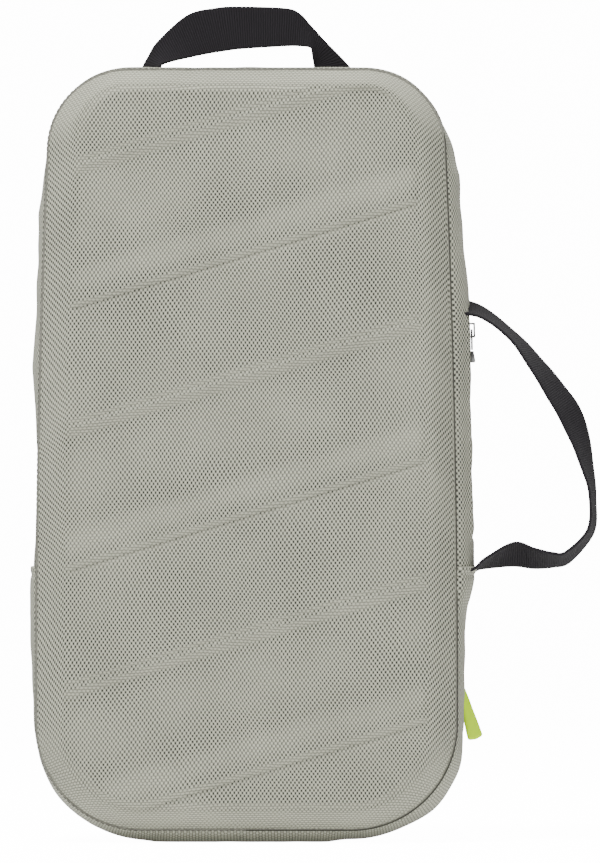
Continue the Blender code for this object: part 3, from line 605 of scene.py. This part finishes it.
def wall_rule(start, end, near_y, far_y, lap=0.0, billow=1.0, wrinkle=0.00045, near_hinge=1.0):
    """The rule for a stretch of wall, from start to end along the seam line."""
    width = far_y - near_y

    def rule(u, v):
        distance = start + (end - start) * v
        x, z, nx, nz = on_line(distance)
        share = u
        y = near_y + width * share
        full = bulge(x, z, nx, nz) * np.where(nx < -0.5, near_hinge, 1) * billow
        by_hinge = 1 - 0.7 * smooth((share - 0.45) / 0.35) * (nx < -0.5)
        out = -0.0006 + (full + 0.0006) * rounded(share) * by_hinge
        out = out + creases(distance, share, wrinkle * (0.3 + np.minimum(full / 0.006, 1.2)))
        out = out + slot_shape(y, z, nx) * (billow == 1.0)
        edge = np.minimum(distance - start, end - distance)
        fold = 0.35 * np.exp(-(((edge - 0.0015) / 0.0012) ** 2))
        stitched = 0.45 * np.exp(-(((edge - 0.0052) / 0.0011) ** 2))
        hem = lap * (1 + fold - stitched)
        out = out + hem * smooth((0.030 - edge) / 0.022)
        out = np.where(nz < -0.95, np.minimum(out, z - 0.0001), out)
        places = np.stack([x + nx * out, y, z + nz * out], axis=1)
        cloth = np.stack([share * (width + 1.2 * full), distance], axis=1)
        return places, cloth

    return rule


# %% Make the walls
RIGHT_JOIN, LEFT_JOIN = line_at_height(JOIN_Z, 1), line_at_height(JOIN_Z, -1)

upper_wall = warped_grid(
    "upper_wall_fabric",
    40,
    620,
    wall_rule(RIGHT_JOIN - 0.004, LEFT_JOIN + 0.004, BACK_SEAM_Y + 0.0003, WALL_EDGE_Y),
)
lower_wall = warped_grid(
    "lower_wall_fabric",
    36,
    420,
    wall_rule(LEFT_JOIN - LENGTH - 0.001, RIGHT_JOIN + 0.001, BACK_SEAM_Y + 0.0003, WALL_EDGE_Y, lap=0.0013),
)
lid_wall = warped_grid(
    "lid_wall_fabric",
    16,
    700,
    wall_rule(
        -LENGTH / 2, LENGTH / 2, LID_EDGE_Y, LID_SEAM_Y - 0.0003, billow=0.55, wrinkle=0.0003, near_hinge=0.05
    ),
    joined=False,
)
for wall, body, node in (
    (upper_wall, "case", "upper_gusset"),
    (lower_wall, "case", "lower_gusset"),
    (lid_wall, "lid", "lid_side_band"),
):
    turn_faces(wall)
    apply_modifier(wall, "SOLIDIFY", thickness=0.0009, offset=-1)
    wear_material(wall, STONE)
    settle(wall, body, node, node)
print("walls:", [len(w.data.polygons) for w in (upper_wall, lower_wall, lid_wall)])

# %% [markdown]
# ## Thread, bindings and linings
#
# The panel and the wall are sewn face to face, turned, and bound inside with black bias tape. A
# row of stitches shows in the crease outside. One stitch is modelled, as a small spindle of
# thread, and copied along the seam. The linings are the panel's own shape, a little smaller.

# %% Copy a small shape along the seam
def spindle(along, across, out, segments=6, rings=5):
    """Points and faces of a small rounded bead, from a sphere primitive."""
    deselect()
    bpy.ops.mesh.primitive_uv_sphere_add(segments=segments, ring_count=rings, radius=0.5)
    bead = bpy.context.object
    places = np.array([vertex.co for vertex in bead.data.vertices]) * (out, across, along)
    faces = [tuple(face.vertices) for face in bead.data.polygons]
    bpy.data.objects.remove(bead)
    return places, faces


def row_of(name, shape, distances, y, out, lean=0.0):
    """Copies of a shape along the seam line, each turned to follow it."""
    points, faces = shape
    x, z, nx, nz = on_line(distances)
    y = np.broadcast_to(y, x.shape)
    out = np.broadcast_to(out, x.shape)
    count, size = len(x), len(points)
    turned = points[:, 1] + lean * points[:, 2]
    places = np.empty((count, size, 3))
    places[:, :, 0] = (x + nx * out)[:, None] + np.outer(nx, points[:, 0]) - np.outer(nz, points[:, 2])
    places[:, :, 1] = y[:, None] + turned[None, :]
    places[:, :, 2] = (z + nz * out)[:, None] + np.outer(nz, points[:, 0]) + np.outer(nx, points[:, 2])
    every = [tuple(i + size * number for i in face) for number in range(count) for face in faces]
    mesh = bpy.data.meshes.new(name)
    mesh.from_pydata(places.reshape(-1, 3).tolist(), [], every)
    piece = bpy.data.objects.new(name, mesh)
    bpy.context.scene.collection.objects.link(piece)
    only(piece)
    bpy.ops.object.mode_set(mode="EDIT")
    bpy.ops.mesh.select_all(action="SELECT")
    bpy.ops.mesh.normals_make_consistent(inside=False)
    bpy.ops.object.mode_set(mode="OBJECT")
    bpy.ops.object.shade_smooth()
    return piece


STITCH = spindle(0.0026, 0.0006, 0.0006)
every_stitch = np.arange(0, LENGTH, 0.0034)
for name, body, y, slot in (
    ("back_seam_stitches", "case", BACK_SEAM_Y + 0.0001, "back_shell"),
    ("lid_seam_stitches", "lid", LID_SEAM_Y - 0.0010, "lid_shell"),
):
    row = row_of(name, STITCH, every_stitch, y, 0.00110)
    wear_material(row, THREAD)
    settle(row, body, slot)

lap_rows = []
for join_at, way in ((RIGHT_JOIN, -1), (LEFT_JOIN - LENGTH, 1)):
    for inset in (0.0040, 0.0064):
        ys = np.arange(BACK_SEAM_Y + 0.004, WALL_EDGE_Y - 0.002, 0.0030)
        at = np.full(len(ys), join_at + way * inset)
        x, z, nx, nz = on_line(at)
        share = (ys - BACK_SEAM_Y) / (WALL_EDGE_Y - BACK_SEAM_Y)
        out = (bulge(x, z, nx, nz) + 0.0006) * rounded(share) - 0.0006 + 0.0010
        lap_rows.append(row_of("lap", spindle(0.0006, 0.0022, 0.0006), at, ys, out))
lap_stitches = join("lap_seam_stitches", lap_rows)
wear_material(lap_stitches, THREAD)
settle(lap_stitches, "case", "lower_gusset")
print("stitches:", len(every_stitch), "round each panel")


# %% Bindings and linings
def loop_rule(centre_y, half_width_y, centre_out, half_out):
    """The rule for a flat tube that runs all the way round the seam."""

    def rule(u, v):
        distance = v * LENGTH
        x, z, nx, nz = on_line(distance)
        angle = 2 * math.pi * u
        across, up = np.cos(angle), np.sin(angle)
        ripple = 1 + 0.06 * np.sin(distance * 410)
        out = centre_out + half_out * np.sign(across) * np.abs(across) ** 0.6 * ripple
        y = centre_y + half_width_y * np.sign(up) * np.abs(up) ** 0.6
        places = np.stack([x + nx * out, y, z + nz * out], axis=1)
        return places, np.stack([u * 4 * half_width_y, distance], axis=1)

    return rule


# A thin cord round each seam, coloured darker than the nylon: painted shade in the crease where panel and
# wall meet.
for name, body, slot, y in (
    ("back_seam_shade_cord", "case", "back_shell", -0.01885),
    ("lid_seam_shade_cord", "lid", "lid_shell", 0.05285),
):
    cord = warped_grid(name, 8, 700, loop_rule(y, 0.00065, 0.00040, 0.00070), joined=True)
    wear_material(cord, SEAM_CORD_SHADE)
    settle(cord, body, slot)

gap_rule = loop_rule(BACK_SEAM_Y + 0.0002, 0.0007, 0.00075, 0.0006)
gap_end = line_at_height(0.425, 1)
gap_line = warped_grid(
    "back_seam_gap_shade", 8, 400, lambda u, v: gap_rule(u, v * gap_end / LENGTH), joined=True
)
wear_material(gap_line, THREAD)
settle(gap_line, "case", "back_shell")

for name, body, slot, y in (
    ("back_binding_tape", "case", "back_seam_binding", -0.01625),
    ("lid_binding_tape", "lid", "lid_seam_binding", 0.05020),
):
    tape = warped_grid(name, 14, 480, loop_rule(y, 0.0024, -0.0058, 0.0010), joined=True)
    wear_material(tape, BINDING)
    settle(tape, body, "binding", slot)

PANEL_ACROSS, PANEL_ROWS = 64, 120
back_rule = panel_rule(-0.01915, -0.02945, 0.0045, 0.0)
back_lining = warped_grid("back_lining_cloth", PANEL_ACROSS, PANEL_ROWS, back_rule)
turn_faces(back_lining)
apply_modifier(back_lining, "SOLIDIFY", thickness=0.0006, offset=-1)
lid_rule = panel_rule(0.05315, 0.06345, 0.0045, 0.0)
lid_lining = warped_grid("lid_lining_cloth", PANEL_ACROSS, PANEL_ROWS, lid_rule, thickness=-0.0006)
for lining, body, node in ((back_lining, "case", "back_lining"), (lid_lining, "lid", "lid_lining")):
    wear_material(lining, LINING)
    settle(lining, body, "lining", node)

# %% [markdown]
# ## The main zip and its hinge
#
# A coil zip is two tapes, each with a nylon coil sewn to its edge. Closed, the loops of one coil
# sit between the loops of the other. Each loop is a small bead laid across the gap, and the two
# rows are half a pitch apart. Along the left side there is no zip: a strip of the same nylon
# joins lid and base.

# %% Tapes, coils and hinge strip
ZIP_START = line_at_height(0.075, -1) - LENGTH
ZIP_END = line_at_height(0.400, -1)
COIL_START = line_at_height(0.046, -1) - LENGTH
COIL_END = line_at_height(0.430, -1)


def strip_rule(start, end, near_y, far_y, out, dish=0.0, from_centre=0.0):
    """The rule for a flat strip that follows the seam line at one depth."""

    def rule(u, v):
        distance = start + (end - start) * v
        x, z, nx, nz = on_line(distance)
        y = near_y + (far_y - near_y) * u
        level = out + dish * np.sin(math.pi * u) + 0.00012 * np.sin(distance * 300 + 4 * u)
        level = level + from_centre * np.abs(y - ZIP_Y)
        places = np.stack([x + nx * level, y, z + nz * level], axis=1)
        return places, np.stack([y - near_y, distance], axis=1)

    return rule


for name, body, near_y, far_y, node in (
    ("base_tape", "case", 0.01880, 0.02600, "base_zip_tape"),
    ("lid_tape", "lid", 0.03150, 0.03870, "lid_zip_tape"),
):
    tape = warped_grid(name, 8, 620, strip_rule(ZIP_START, ZIP_END, near_y, far_y, -0.0027))
    turn_faces(tape)
    apply_modifier(tape, "SOLIDIFY", thickness=0.0007, offset=-1)
    wear_material(tape, TAPE)
    settle(tape, body, "tape", node)

COIL_PITCH = 0.0017
loop_of_coil = spindle(0.00105, 0.0033, 0.0022, 6, 6)
loops = np.arange(COIL_START, COIL_END, COIL_PITCH)
for name, body, y, offset, node in (
    ("base_coil_loops", "case", ZIP_Y - 0.00125, 0.0, "base_zip_coil"),
    ("lid_coil_loops", "lid", ZIP_Y + 0.00125, COIL_PITCH / 2, "lid_zip_coil"),
):
    coil = row_of(name, loop_of_coil, loops + offset, y, -0.0022, lean=0.12)
    wear_material(coil, COIL)
    settle(coil, body, "coil", node)

every_tape_stitch = np.arange(ZIP_START, ZIP_END, 0.0032)
for name, body, ys in (
    ("base_tape_stitches", "case", (0.0203, 0.0242)),
    ("lid_tape_stitches", "lid", (0.0333, 0.0372)),
):
    rows = [row_of(name, spindle(0.0022, 0.0004, 0.0004, 6, 4), every_tape_stitch, y, -0.0026) for y in ys]
    sewn = join(name, rows)
    wear_material(sewn, THREAD)
    settle(sewn, body, "tape")

hinge_rule = strip_rule(ZIP_END - 0.0003, ZIP_START + LENGTH + 0.0003, 0.0189, 0.0386, -0.0030, dish=0.0002)
hinge = warped_grid("hinge_strip_fabric", 20, 220, hinge_rule)
turn_faces(hinge)
apply_modifier(hinge, "SOLIDIFY", thickness=0.0009, offset=-1)
wear_material(hinge, STONE)
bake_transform(hinge)
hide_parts("base_hinge_strip", "lid_hinge_strip")
print("coil loops:", 2 * len(loops))

# %% [markdown]
# ## Sliders, links and pull tabs
#
# The hardware is small castings whose solids are right in size, but have knife edges. A copy of
# each is merged, given rounded edges with a bevel, and takes the satin metal. The tabs are soft
# neon rubber, so they are shaped fresh: a section is carried down a path, twisting as it goes.

# %% Rounded copies of the hard parts
def rounded_copy(name, node, radius, segments=2):
    """A copy of a solid with its edges rounded."""
    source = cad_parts[node]
    piece = bpy.data.objects.new(name, source.data.copy())
    bpy.context.scene.collection.objects.link(piece)
    piece.hide_render = piece.hide_viewport = False
    only(piece)
    bpy.ops.object.mode_set(mode="EDIT")
    bpy.ops.mesh.select_all(action="SELECT")
    bpy.ops.mesh.remove_doubles(threshold=0.00001)
    bpy.ops.mesh.dissolve_limited(angle_limit=math.radians(2))
    bpy.ops.object.mode_set(mode="OBJECT")
    sharp = math.radians(35)
    apply_modifier(
        piece, "BEVEL", width=radius, segments=segments, angle_limit=sharp, use_clamp_overlap=True
    )
    only(piece)
    bpy.ops.object.shade_smooth_by_angle(angle=math.radians(35))
    return piece


for node, body, radius in (
    ("main_slider_upper", "upper_zip_slider", 0.0007),
    ("main_slider_lower", "lower_zip_slider", 0.0007),
    ("pocket_slider", "pocket_zip_slider", 0.0005),
    ("upper_pull_link", "upper_zip_pull", 0.0004),
    ("lower_pull_link", "lower_zip_pull", 0.0004),
    ("pocket_pull_link", "pocket_zip_pull", 0.0004),
    ("pocket_pull_tab", "pocket_zip_pull", 0.0006),
):
    part = rounded_copy(node + "_cast", node, radius)
    wear_material(part, METAL)
    settle(part, body, "metal", node)


# %% A section carried along a path
def curve_through(stations, count):
    """Values read smoothly from rows of numbers, with no corner at a row."""
    rows = np.array(stations, float)
    rows = np.vstack([2 * rows[0] - rows[1], rows, 2 * rows[-1] - rows[-2]])
    place = np.linspace(0, len(stations) - 1.000001, count)
    i = place.astype(int)
    t = (place - i)[:, None]
    a, b, c, d = rows[i], rows[i + 1], rows[i + 2], rows[i + 3]
    return 0.5 * (2 * b + (c - a) * t + (2 * a - 5 * b + 4 * c - d) * t**2 + (3 * b - a - 3 * c + d) * t**3)


def loft(name, stations, around=28, along=60, square=0.7, ridge=0.0):
    """A closed soft body. Each station is x, y, z, half width, half thickness and twist in degrees."""
    rows = curve_through(np.array(stations), along + 1)
    rows[:, :3] /= 1000
    rows[:, 3:5] /= 1000
    lengths = np.concatenate([[0], np.cumsum(np.linalg.norm(np.diff(rows[:, :3], axis=0), axis=1))])

    def rule(u, v):
        number = np.clip(np.round(v * along).astype(int), 0, along)
        row = rows[number]
        way = np.gradient(rows[:, :3], axis=0)
        way = (way / np.linalg.norm(way, axis=1)[:, None])[number]
        twist = np.radians(row[:, 5])
        flat = np.stack([np.sin(twist), np.cos(twist), np.zeros(len(twist))], axis=1)
        flat -= way * (flat * way).sum(axis=1)[:, None]
        flat /= np.linalg.norm(flat, axis=1)[:, None]
        up = np.cross(way, flat)
        angle = 2 * math.pi * u
        c, s = np.cos(angle), np.sin(angle)
        end = np.minimum(v, 1 - v) * along / 3
        close = np.sqrt(np.clip(1 - (1 - np.clip(end, 0, 1)) ** 2, 0, 1))
        width = row[:, 3] * np.sign(c) * np.abs(c) ** square * close
        thick = row[:, 4] * np.sign(s) * np.abs(s) ** square * close
        thick = thick * (1 + ridge * np.exp(-(((c - 0.25) / 0.3) ** 2)))
        places = row[:, :3] + flat * width[:, None] + up * thick[:, None]
        return places, np.stack([u * 4 * row[:, 3], lengths[number]], axis=1)

    return warped_grid(name, around, along, rule, joined=True, angle=60)


upper_tab = loft(
    "upper_tab_rubber",
    (
        (127.0, 28.8, 99.6, 2.3, 1.0, 0),
        (128.2, 28.2, 95.5, 3.0, 1.2, 8),
        (129.6, 26.2, 91.0, 3.8, 1.5, 18),
        (131.6, 24.0, 85.0, 4.4, 1.6, 30),
        (134.0, 22.4, 76.5, 5.0, 1.7, 40),
        (136.4, 21.8, 68.0, 5.6, 1.8, 47),
        (138.4, 21.8, 61.2, 6.0, 1.6, 50),
    ),
    ridge=0.5,
)
lower_tab = loft(
    "lower_tab_rubber",
    (
        (126.0, 28.8, 74.4, 2.3, 0.9, 0),
        (126.0, 30.2, 70.4, 3.0, 1.1, 0),
        (126.0, 33.4, 66.0, 3.8, 1.3, 0),
        (126.0, 34.5, 58.0, 3.9, 1.5, 0),
        (125.4, 34.5, 50.0, 4.0, 1.7, 0),
        (124.9, 34.5, 42.5, 3.9, 1.5, 0),
    ),
    ridge=0.25,
)
for tab, body, node in (
    (upper_tab, "upper_zip_pull", "upper_pull_tab"),
    (lower_tab, "lower_zip_pull", "lower_pull_tab"),
):
    wear_material(tab, NEON)
    settle(tab, body, "neon", node)
print("tabs:", len(upper_tab.data.polygons), "faces each")

# %% [markdown]
# ## The side pocket
#
# The pocket is a slit in the side wall with a fine coil zip. Its tapes lie in the sunk slot, between
# the two lips of the wall. A small sewn garage covers the foot of the zip, and behind the slit
# hangs a thin bag, which is empty and so nearly flat.

# %% Pocket zip, garage and bag
POCKET_START, POCKET_END = line_at_height(POCKET_LOW - 0.0005, 1), line_at_height(POCKET_HIGH + 0.0005, 1)


def pocket_out(distance, height):
    """The level of the pocket zip, over the straight chord of the side."""
    x, z, _, _ = on_line(distance)
    straight = np.clip((z - FOOT_Z - FOOT_RADIUS) / (TOP_Z - TOP_RADIUS - FOOT_Z - FOOT_RADIUS), 0, 1)
    return height - 4 * BOW * straight * (1 - straight)


for name, side in (("front", -1), ("rear", 1)):

    def rule(u, v, side=side):
        distance = POCKET_START + (POCKET_END - POCKET_START) * v
        x, z, nx, nz = on_line(distance)
        y = side * (0.0020 + 0.0046 * u)
        out = pocket_out(distance, 0.0108) + 0.0004 * u + 0.0001 * np.sin(distance * 420)
        places = np.stack([x + nx * out, y, z + nz * out], axis=1)
        return places, np.stack([0.0046 * u, distance], axis=1)

    tape = warped_grid(f"pocket_tape_{name}_cloth", 8, 120, rule)
    if side > 0:
        turn_faces(tape)
    apply_modifier(tape, "SOLIDIFY", thickness=0.0006, offset=-1)
    wear_material(tape, TAPE)
    settle(tape, "case", "tape", f"pocket_zip_tape_{name}")
    at = np.arange(POCKET_START, POCKET_END, 0.0013) + (0.00065 if side > 0 else 0)
    loop = spindle(0.0008, 0.0026, 0.0017)
    coil = row_of(f"pocket_coil_{name}_loops", loop, at, side * 0.0010, pocket_out(at, 0.0117), lean=0.1)
    wear_material(coil, COIL)
    settle(coil, "case", "coil", f"pocket_zip_coil_{name}")

garage = loft(
    "pocket_garage_cloth",
    (
        (135.4, 0, 184.6, 5.6, 0.5, 0),
        (136.4, 0, 187.6, 6.2, 0.7, 0),
        (136.5, 0, 192.0, 6.2, 0.7, 0),
        (136.3, 0, 197.2, 6.0, 0.5, 0),
    ),
    square=0.5,
)
bag = loft(
    "pocket_bag_cloth",
    (
        (120.6, 0, 178.0, 10.2, 0.8, 0),
        (120.4, 0, 190, 11.0, 1.4, 0),
        (119.6, 0, 230, 11.0, 1.6, 0),
        (118.7, 0, 290, 11.0, 1.5, 0),
        (118.2, 0, 323.8, 10.4, 0.8, 0),
    ),
    square=0.55,
)
wear_material(garage, STONE)
settle(garage, "case", "tape", "pocket_zip_garage")
wear_material(bag, LINING)
settle(bag, "case", "pocket", "pocket_bag")

# %% [markdown]
# ## The webbing handles
#
# Both handles are one length of 25 mm webbing with its ends sewn into the wall. Webbing is stiff
# across its width and bends easily the other way, so it twists and folds instead of stretching.
# Each strap is given by its two long edges, set at stations from end to end.

# %% Straps between two edges
def strap(name, stations, along, thickness=0.0016, across=14, cup=0.0004):
    """Webbing between two edges. Each station is x, y, z of one edge, then of the other."""
    rows = curve_through(np.array(stations), along + 1) / 1000
    middle = (rows[:, :3] + rows[:, 3:]) / 2
    lengths = np.concatenate([[0], np.cumsum(np.linalg.norm(np.diff(middle, axis=0), axis=1))])

    def rule(u, v):
        number = np.clip(np.round(v * along).astype(int), 0, along)
        row = rows[number]
        way = np.gradient(middle, axis=0)[number]
        face = np.cross(way, row[:, 3:] - row[:, :3])
        face /= np.maximum(np.linalg.norm(face, axis=1)[:, None], 1e-9)
        places = row[:, :3] + (row[:, 3:] - row[:, :3]) * u[:, None]
        proud = cup * np.sin(math.pi * u) + 0.00012 * np.sin(lengths[number] * 260)
        places = places + face * proud[:, None]
        return places, np.stack([u * 0.025, lengths[number]], axis=1)

    piece = warped_grid(name, across, along, rule, angle=60)
    apply_modifier(piece, "SOLIDIFY", thickness=thickness, offset=0)
    apply_modifier(piece, "BEVEL", width=0.0005, segments=2, angle_limit=math.radians(60))
    wear_material(piece, WEBBING)
    return piece


def edges(outer_x, outer_z, inner_x, inner_z, width=25.0):
    """A station of the side handle: the width not seen from the front runs along Y."""
    seen = math.hypot(outer_x - inner_x, outer_z - inner_z)
    deep = math.sqrt(max(width**2 - seen**2, 0)) / 2
    return (outer_x, deep, outer_z, inner_x, -deep, inner_z)


side_strap = strap(
    "side_handle_webbing",
    [
        edges(*station)
        for station in (
            (131.0, 327.2, 131.0, 318.4),
            (144.2, 321.6, 142.6, 315.2),
            (167.6, 302.2, 160.4, 300.8),
            (192.2, 274.2, 181.8, 267.2),
            (202.6, 258.0, 190.8, 250.8),
            (207.2, 240.2, 197.6, 236.3),
            (210.4, 210.9, 206.2, 211.2),
            (209.4, 186.8, 205.4, 188.6),
            (195.4, 169.2, 192.4, 175.1),
            (184.8, 165.6, 184.2, 174.2),
            (173.6, 165.0, 173.6, 176.9),
            (161.2, 166.2, 161.4, 180.4),
            (142.2, 164.8, 144.6, 171.6),
            (137.0, 162.6, 137.6, 165.0),
            (132.5, 161.2, 132.8, 163.0),
        )
    ],
    320,
)
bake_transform(side_strap)
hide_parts("side_handle", "side_handle_end_upper", "side_handle_end_lower")

top_strap = strap(
    "top_handle_webbing",
    (
        (-65.4, 10.0, 463.2, -53.0, -9.0, 463.2),
        (-63.6, 9.0, 466.6, -51.8, -9.0, 465.9),
        (-59.6, 5.5, 473.6, -51.6, -7.6, 468.4),
        (-53.2, 1.8, 483.4, -45.4, -4.4, 470.6),
        (-36.2, -1.0, 498.6, -27.0, -1.6, 474.6),
        (-19.4, -1.0, 503.0, -14.0, -1.0, 476.8),
        (-4.8, -1.0, 503.9, -3.0, -0.6, 478.2),
        (23.4, -1.0, 502.9, 22.4, -0.4, 479.8),
        (32.2, -0.8, 499.6, 31.0, -0.6, 479.9),
        (38.4, -0.4, 492.9, 38.4, -1.6, 478.8),
        (45.0, 0.6, 485.6, 39.8, -0.8, 474.0),
        (53.0, 1.2, 477.4, 40.4, 0.8, 469.0),
        (61.4, 1.4, 468.6, 40.7, 1.4, 465.8),
        (64.4, 1.4, 464.0, 40.4, 1.4, 463.2),
    ),
    300,
)
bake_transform(top_strap)
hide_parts("top_handle", "top_handle_end_left", "top_handle_end_right")
print("straps:", len(side_strap.data.polygons), len(top_strap.data.polygons))

# %% [markdown]
# ## The inside
#
# The device rests in a block of foam with a recess cut to its shape, a small recess for leads and
# two finger notches. Cut foam has soft edges. A copy of each solid block is remeshed with small
# even faces and smoothed, which rounds every edge alike. The lid has a flat pad and a net pocket.

# %% Foam blocks
def soft_block(name, node, voxel, rounds):
    """A copy of a solid, remeshed and smoothed until its edges are soft."""
    piece = bpy.data.objects.new(name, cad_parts[node].data.copy())
    bpy.context.scene.collection.objects.link(piece)
    piece.hide_render = piece.hide_viewport = False
    only(piece)
    bpy.ops.object.mode_set(mode="EDIT")
    bpy.ops.mesh.select_all(action="SELECT")
    bpy.ops.mesh.remove_doubles(threshold=0.00001)
    bpy.ops.object.mode_set(mode="OBJECT")
    apply_modifier(piece, "REMESH", mode="VOXEL", voxel_size=voxel)
    apply_modifier(piece, "SMOOTH", factor=0.5, iterations=rounds)
    only(piece)
    bpy.ops.object.shade_smooth()
    wear_material(piece, FOAM)
    return piece


foam = soft_block("foam_insert_block", "foam_insert", 0.0026, 5)
settle(foam, "case", "foam", "foam_insert")
lid_pad = soft_block("lid_pad_block", "lid_foam_pad", 0.0030, 5)
settle(lid_pad, "lid", "foam", "lid_foam_pad")
print("foam:", len(foam.data.polygons), "faces, lid pad:", len(lid_pad.data.polygons))


# %% Net pocket
NET_HALF, NET_LOW, NET_HIGH = 0.0945, 0.0655, 0.2350


def net_rule(u, v):
    """A net that stands off the pad and comes down to it at both sides and the foot."""
    x = (2 * u - 1) * NET_HALF
    z = NET_LOW + (NET_HIGH - NET_LOW) * v
    edge = np.minimum(NET_HALF - np.abs(x), z - NET_LOW)
    lift = smooth(edge / 0.012) * 0.0062
    y = 0.04760 - lift + 0.0004 * np.sin(70 * x) * v
    return np.stack([x, y, z], axis=1), np.stack([x, z], axis=1)


net = warped_grid("net_pocket_mesh", 62, 56, net_rule)
apply_modifier(net, "WIREFRAME", thickness=0.0006, use_replace=True, use_even_offset=False)
only(net)
bpy.ops.object.shade_smooth()
wear_material(net, NET)
settle(net, "lid", "mesh", "mesh_pocket")

elastic = loft(
    "net_pocket_elastic_band",
    (
        (-94.5, 45.8, 238.8, 3.5, 0.9, 0),
        (-88, 42.6, 238.8, 3.5, 1.1, 0),
        (0, 41.6, 238.6, 3.5, 1.1, 0),
        (88, 42.6, 238.8, 3.5, 1.1, 0),
        (94.5, 45.8, 238.8, 3.5, 0.9, 0),
    ),
    along=240,
)
wear_material(elastic, BINDING)
settle(elastic, "lid", "binding", "mesh_pocket_elastic")

# %% [markdown]
# ## Room, light and camera
#
# The case stands on a pale floor that sweeps up behind it. Light comes from one large soft panel
# above and to the left, with a weaker one opposite, so that the bands of the panel throw only
# gentle shadows. The lens is long and nearly level, which keeps the sides of the case straight.

# %% Floor and backdrop
deselect()
bpy.ops.mesh.primitive_grid_add(x_subdivisions=4, y_subdivisions=60, size=2)
floor = bpy.context.object
floor.name = "studio_sweep"
for vertex in floor.data.vertices:
    run = (vertex.co.y + 1) / 2 * 26.0 - 9.0
    turn = min(max((run - 9.0) / 2.0, 0), math.pi / 2)
    rise = 2.0 * (1 - math.cos(turn)) + max(run - 9.0 - math.pi, 0)
    back = min(run, 9.0) + 2.0 * math.sin(turn)
    vertex.co = (vertex.co.x * 12, back, rise)
bpy.ops.object.shade_smooth()
pale, _, pale_shader = start_material("pale_floor", 0.9, specular=0.1)
pale_shader.inputs["Base Color"].default_value = (0.95, 0.95, 0.95, 1)
pale_shader.inputs["Emission Color"].default_value = (1, 1, 1, 1)
# The backdrop is bright for the camera only, so that it doesn't light the case from below.
seen = pale.node_tree.nodes.new("ShaderNodeLightPath")
glow = calc(pale.node_tree, "MULTIPLY_ADD", seen.outputs["Is Camera Ray"], 14.0, 0.15)
pale.node_tree.links.new(glow, pale_shader.inputs["Emission Strength"])
wear_material(floor, pale)


# %% Lights
def soft_light(name, place, aim, size, power):
    """A square area light turned towards a point."""
    light = bpy.data.lights.new(name, "AREA")
    light.size, light.energy = size, power
    lamp = bpy.data.objects.new(name, light)
    bpy.context.scene.collection.objects.link(lamp)
    lamp.location = place
    lamp.rotation_euler = (Vector(aim) - Vector(place)).to_track_quat("-Z", "Y").to_euler()
    return lamp


soft_light("key_panel", (-0.6, -1.0, 2.5), (0, 0, 0.25), 0.8, 95)
soft_light("fill_panel", (1.7, -1.4, 0.9), (0, 0, 0.25), 1.6, 10)
soft_light("rear_panel", (0.6, 1.7, 2.4), (0, 0, 0.3), 1.6, 26)
world = bpy.data.worlds.new("pale_room")
world.use_nodes = True
world.node_tree.nodes["Background"].inputs["Color"].default_value = (1, 1, 1, 1)
world.node_tree.nodes["Background"].inputs["Strength"].default_value = 0.42
bpy.context.scene.world = world

# %% Camera
AZIMUTH, ELEVATION, DISTANCE = math.radians(0.5), math.radians(-0.4), 6.0
AIM = Vector((0.0324, -0.033, 0.2472))
VIEW_HEIGHT = 863 * 0.0006
level_share = math.cos(ELEVATION)
away = Vector((math.sin(AZIMUTH) * level_share, -math.cos(AZIMUTH) * level_share, math.sin(ELEVATION)))
lens = bpy.data.cameras.new("camera")
lens.sensor_fit = "VERTICAL"
lens.sensor_height = 24
lens.lens = 24 * DISTANCE / VIEW_HEIGHT
lens.clip_end = 30
camera = bpy.data.objects.new("camera", lens)
bpy.context.scene.collection.objects.link(camera)
camera.location = AIM + away * DISTANCE
camera.rotation_euler = (-away).to_track_quat("-Z", "Y").to_euler()
bpy.context.scene.camera = camera
print("camera", [round(c, 3) for c in camera.location], "lens", round(lens.lens, 1))
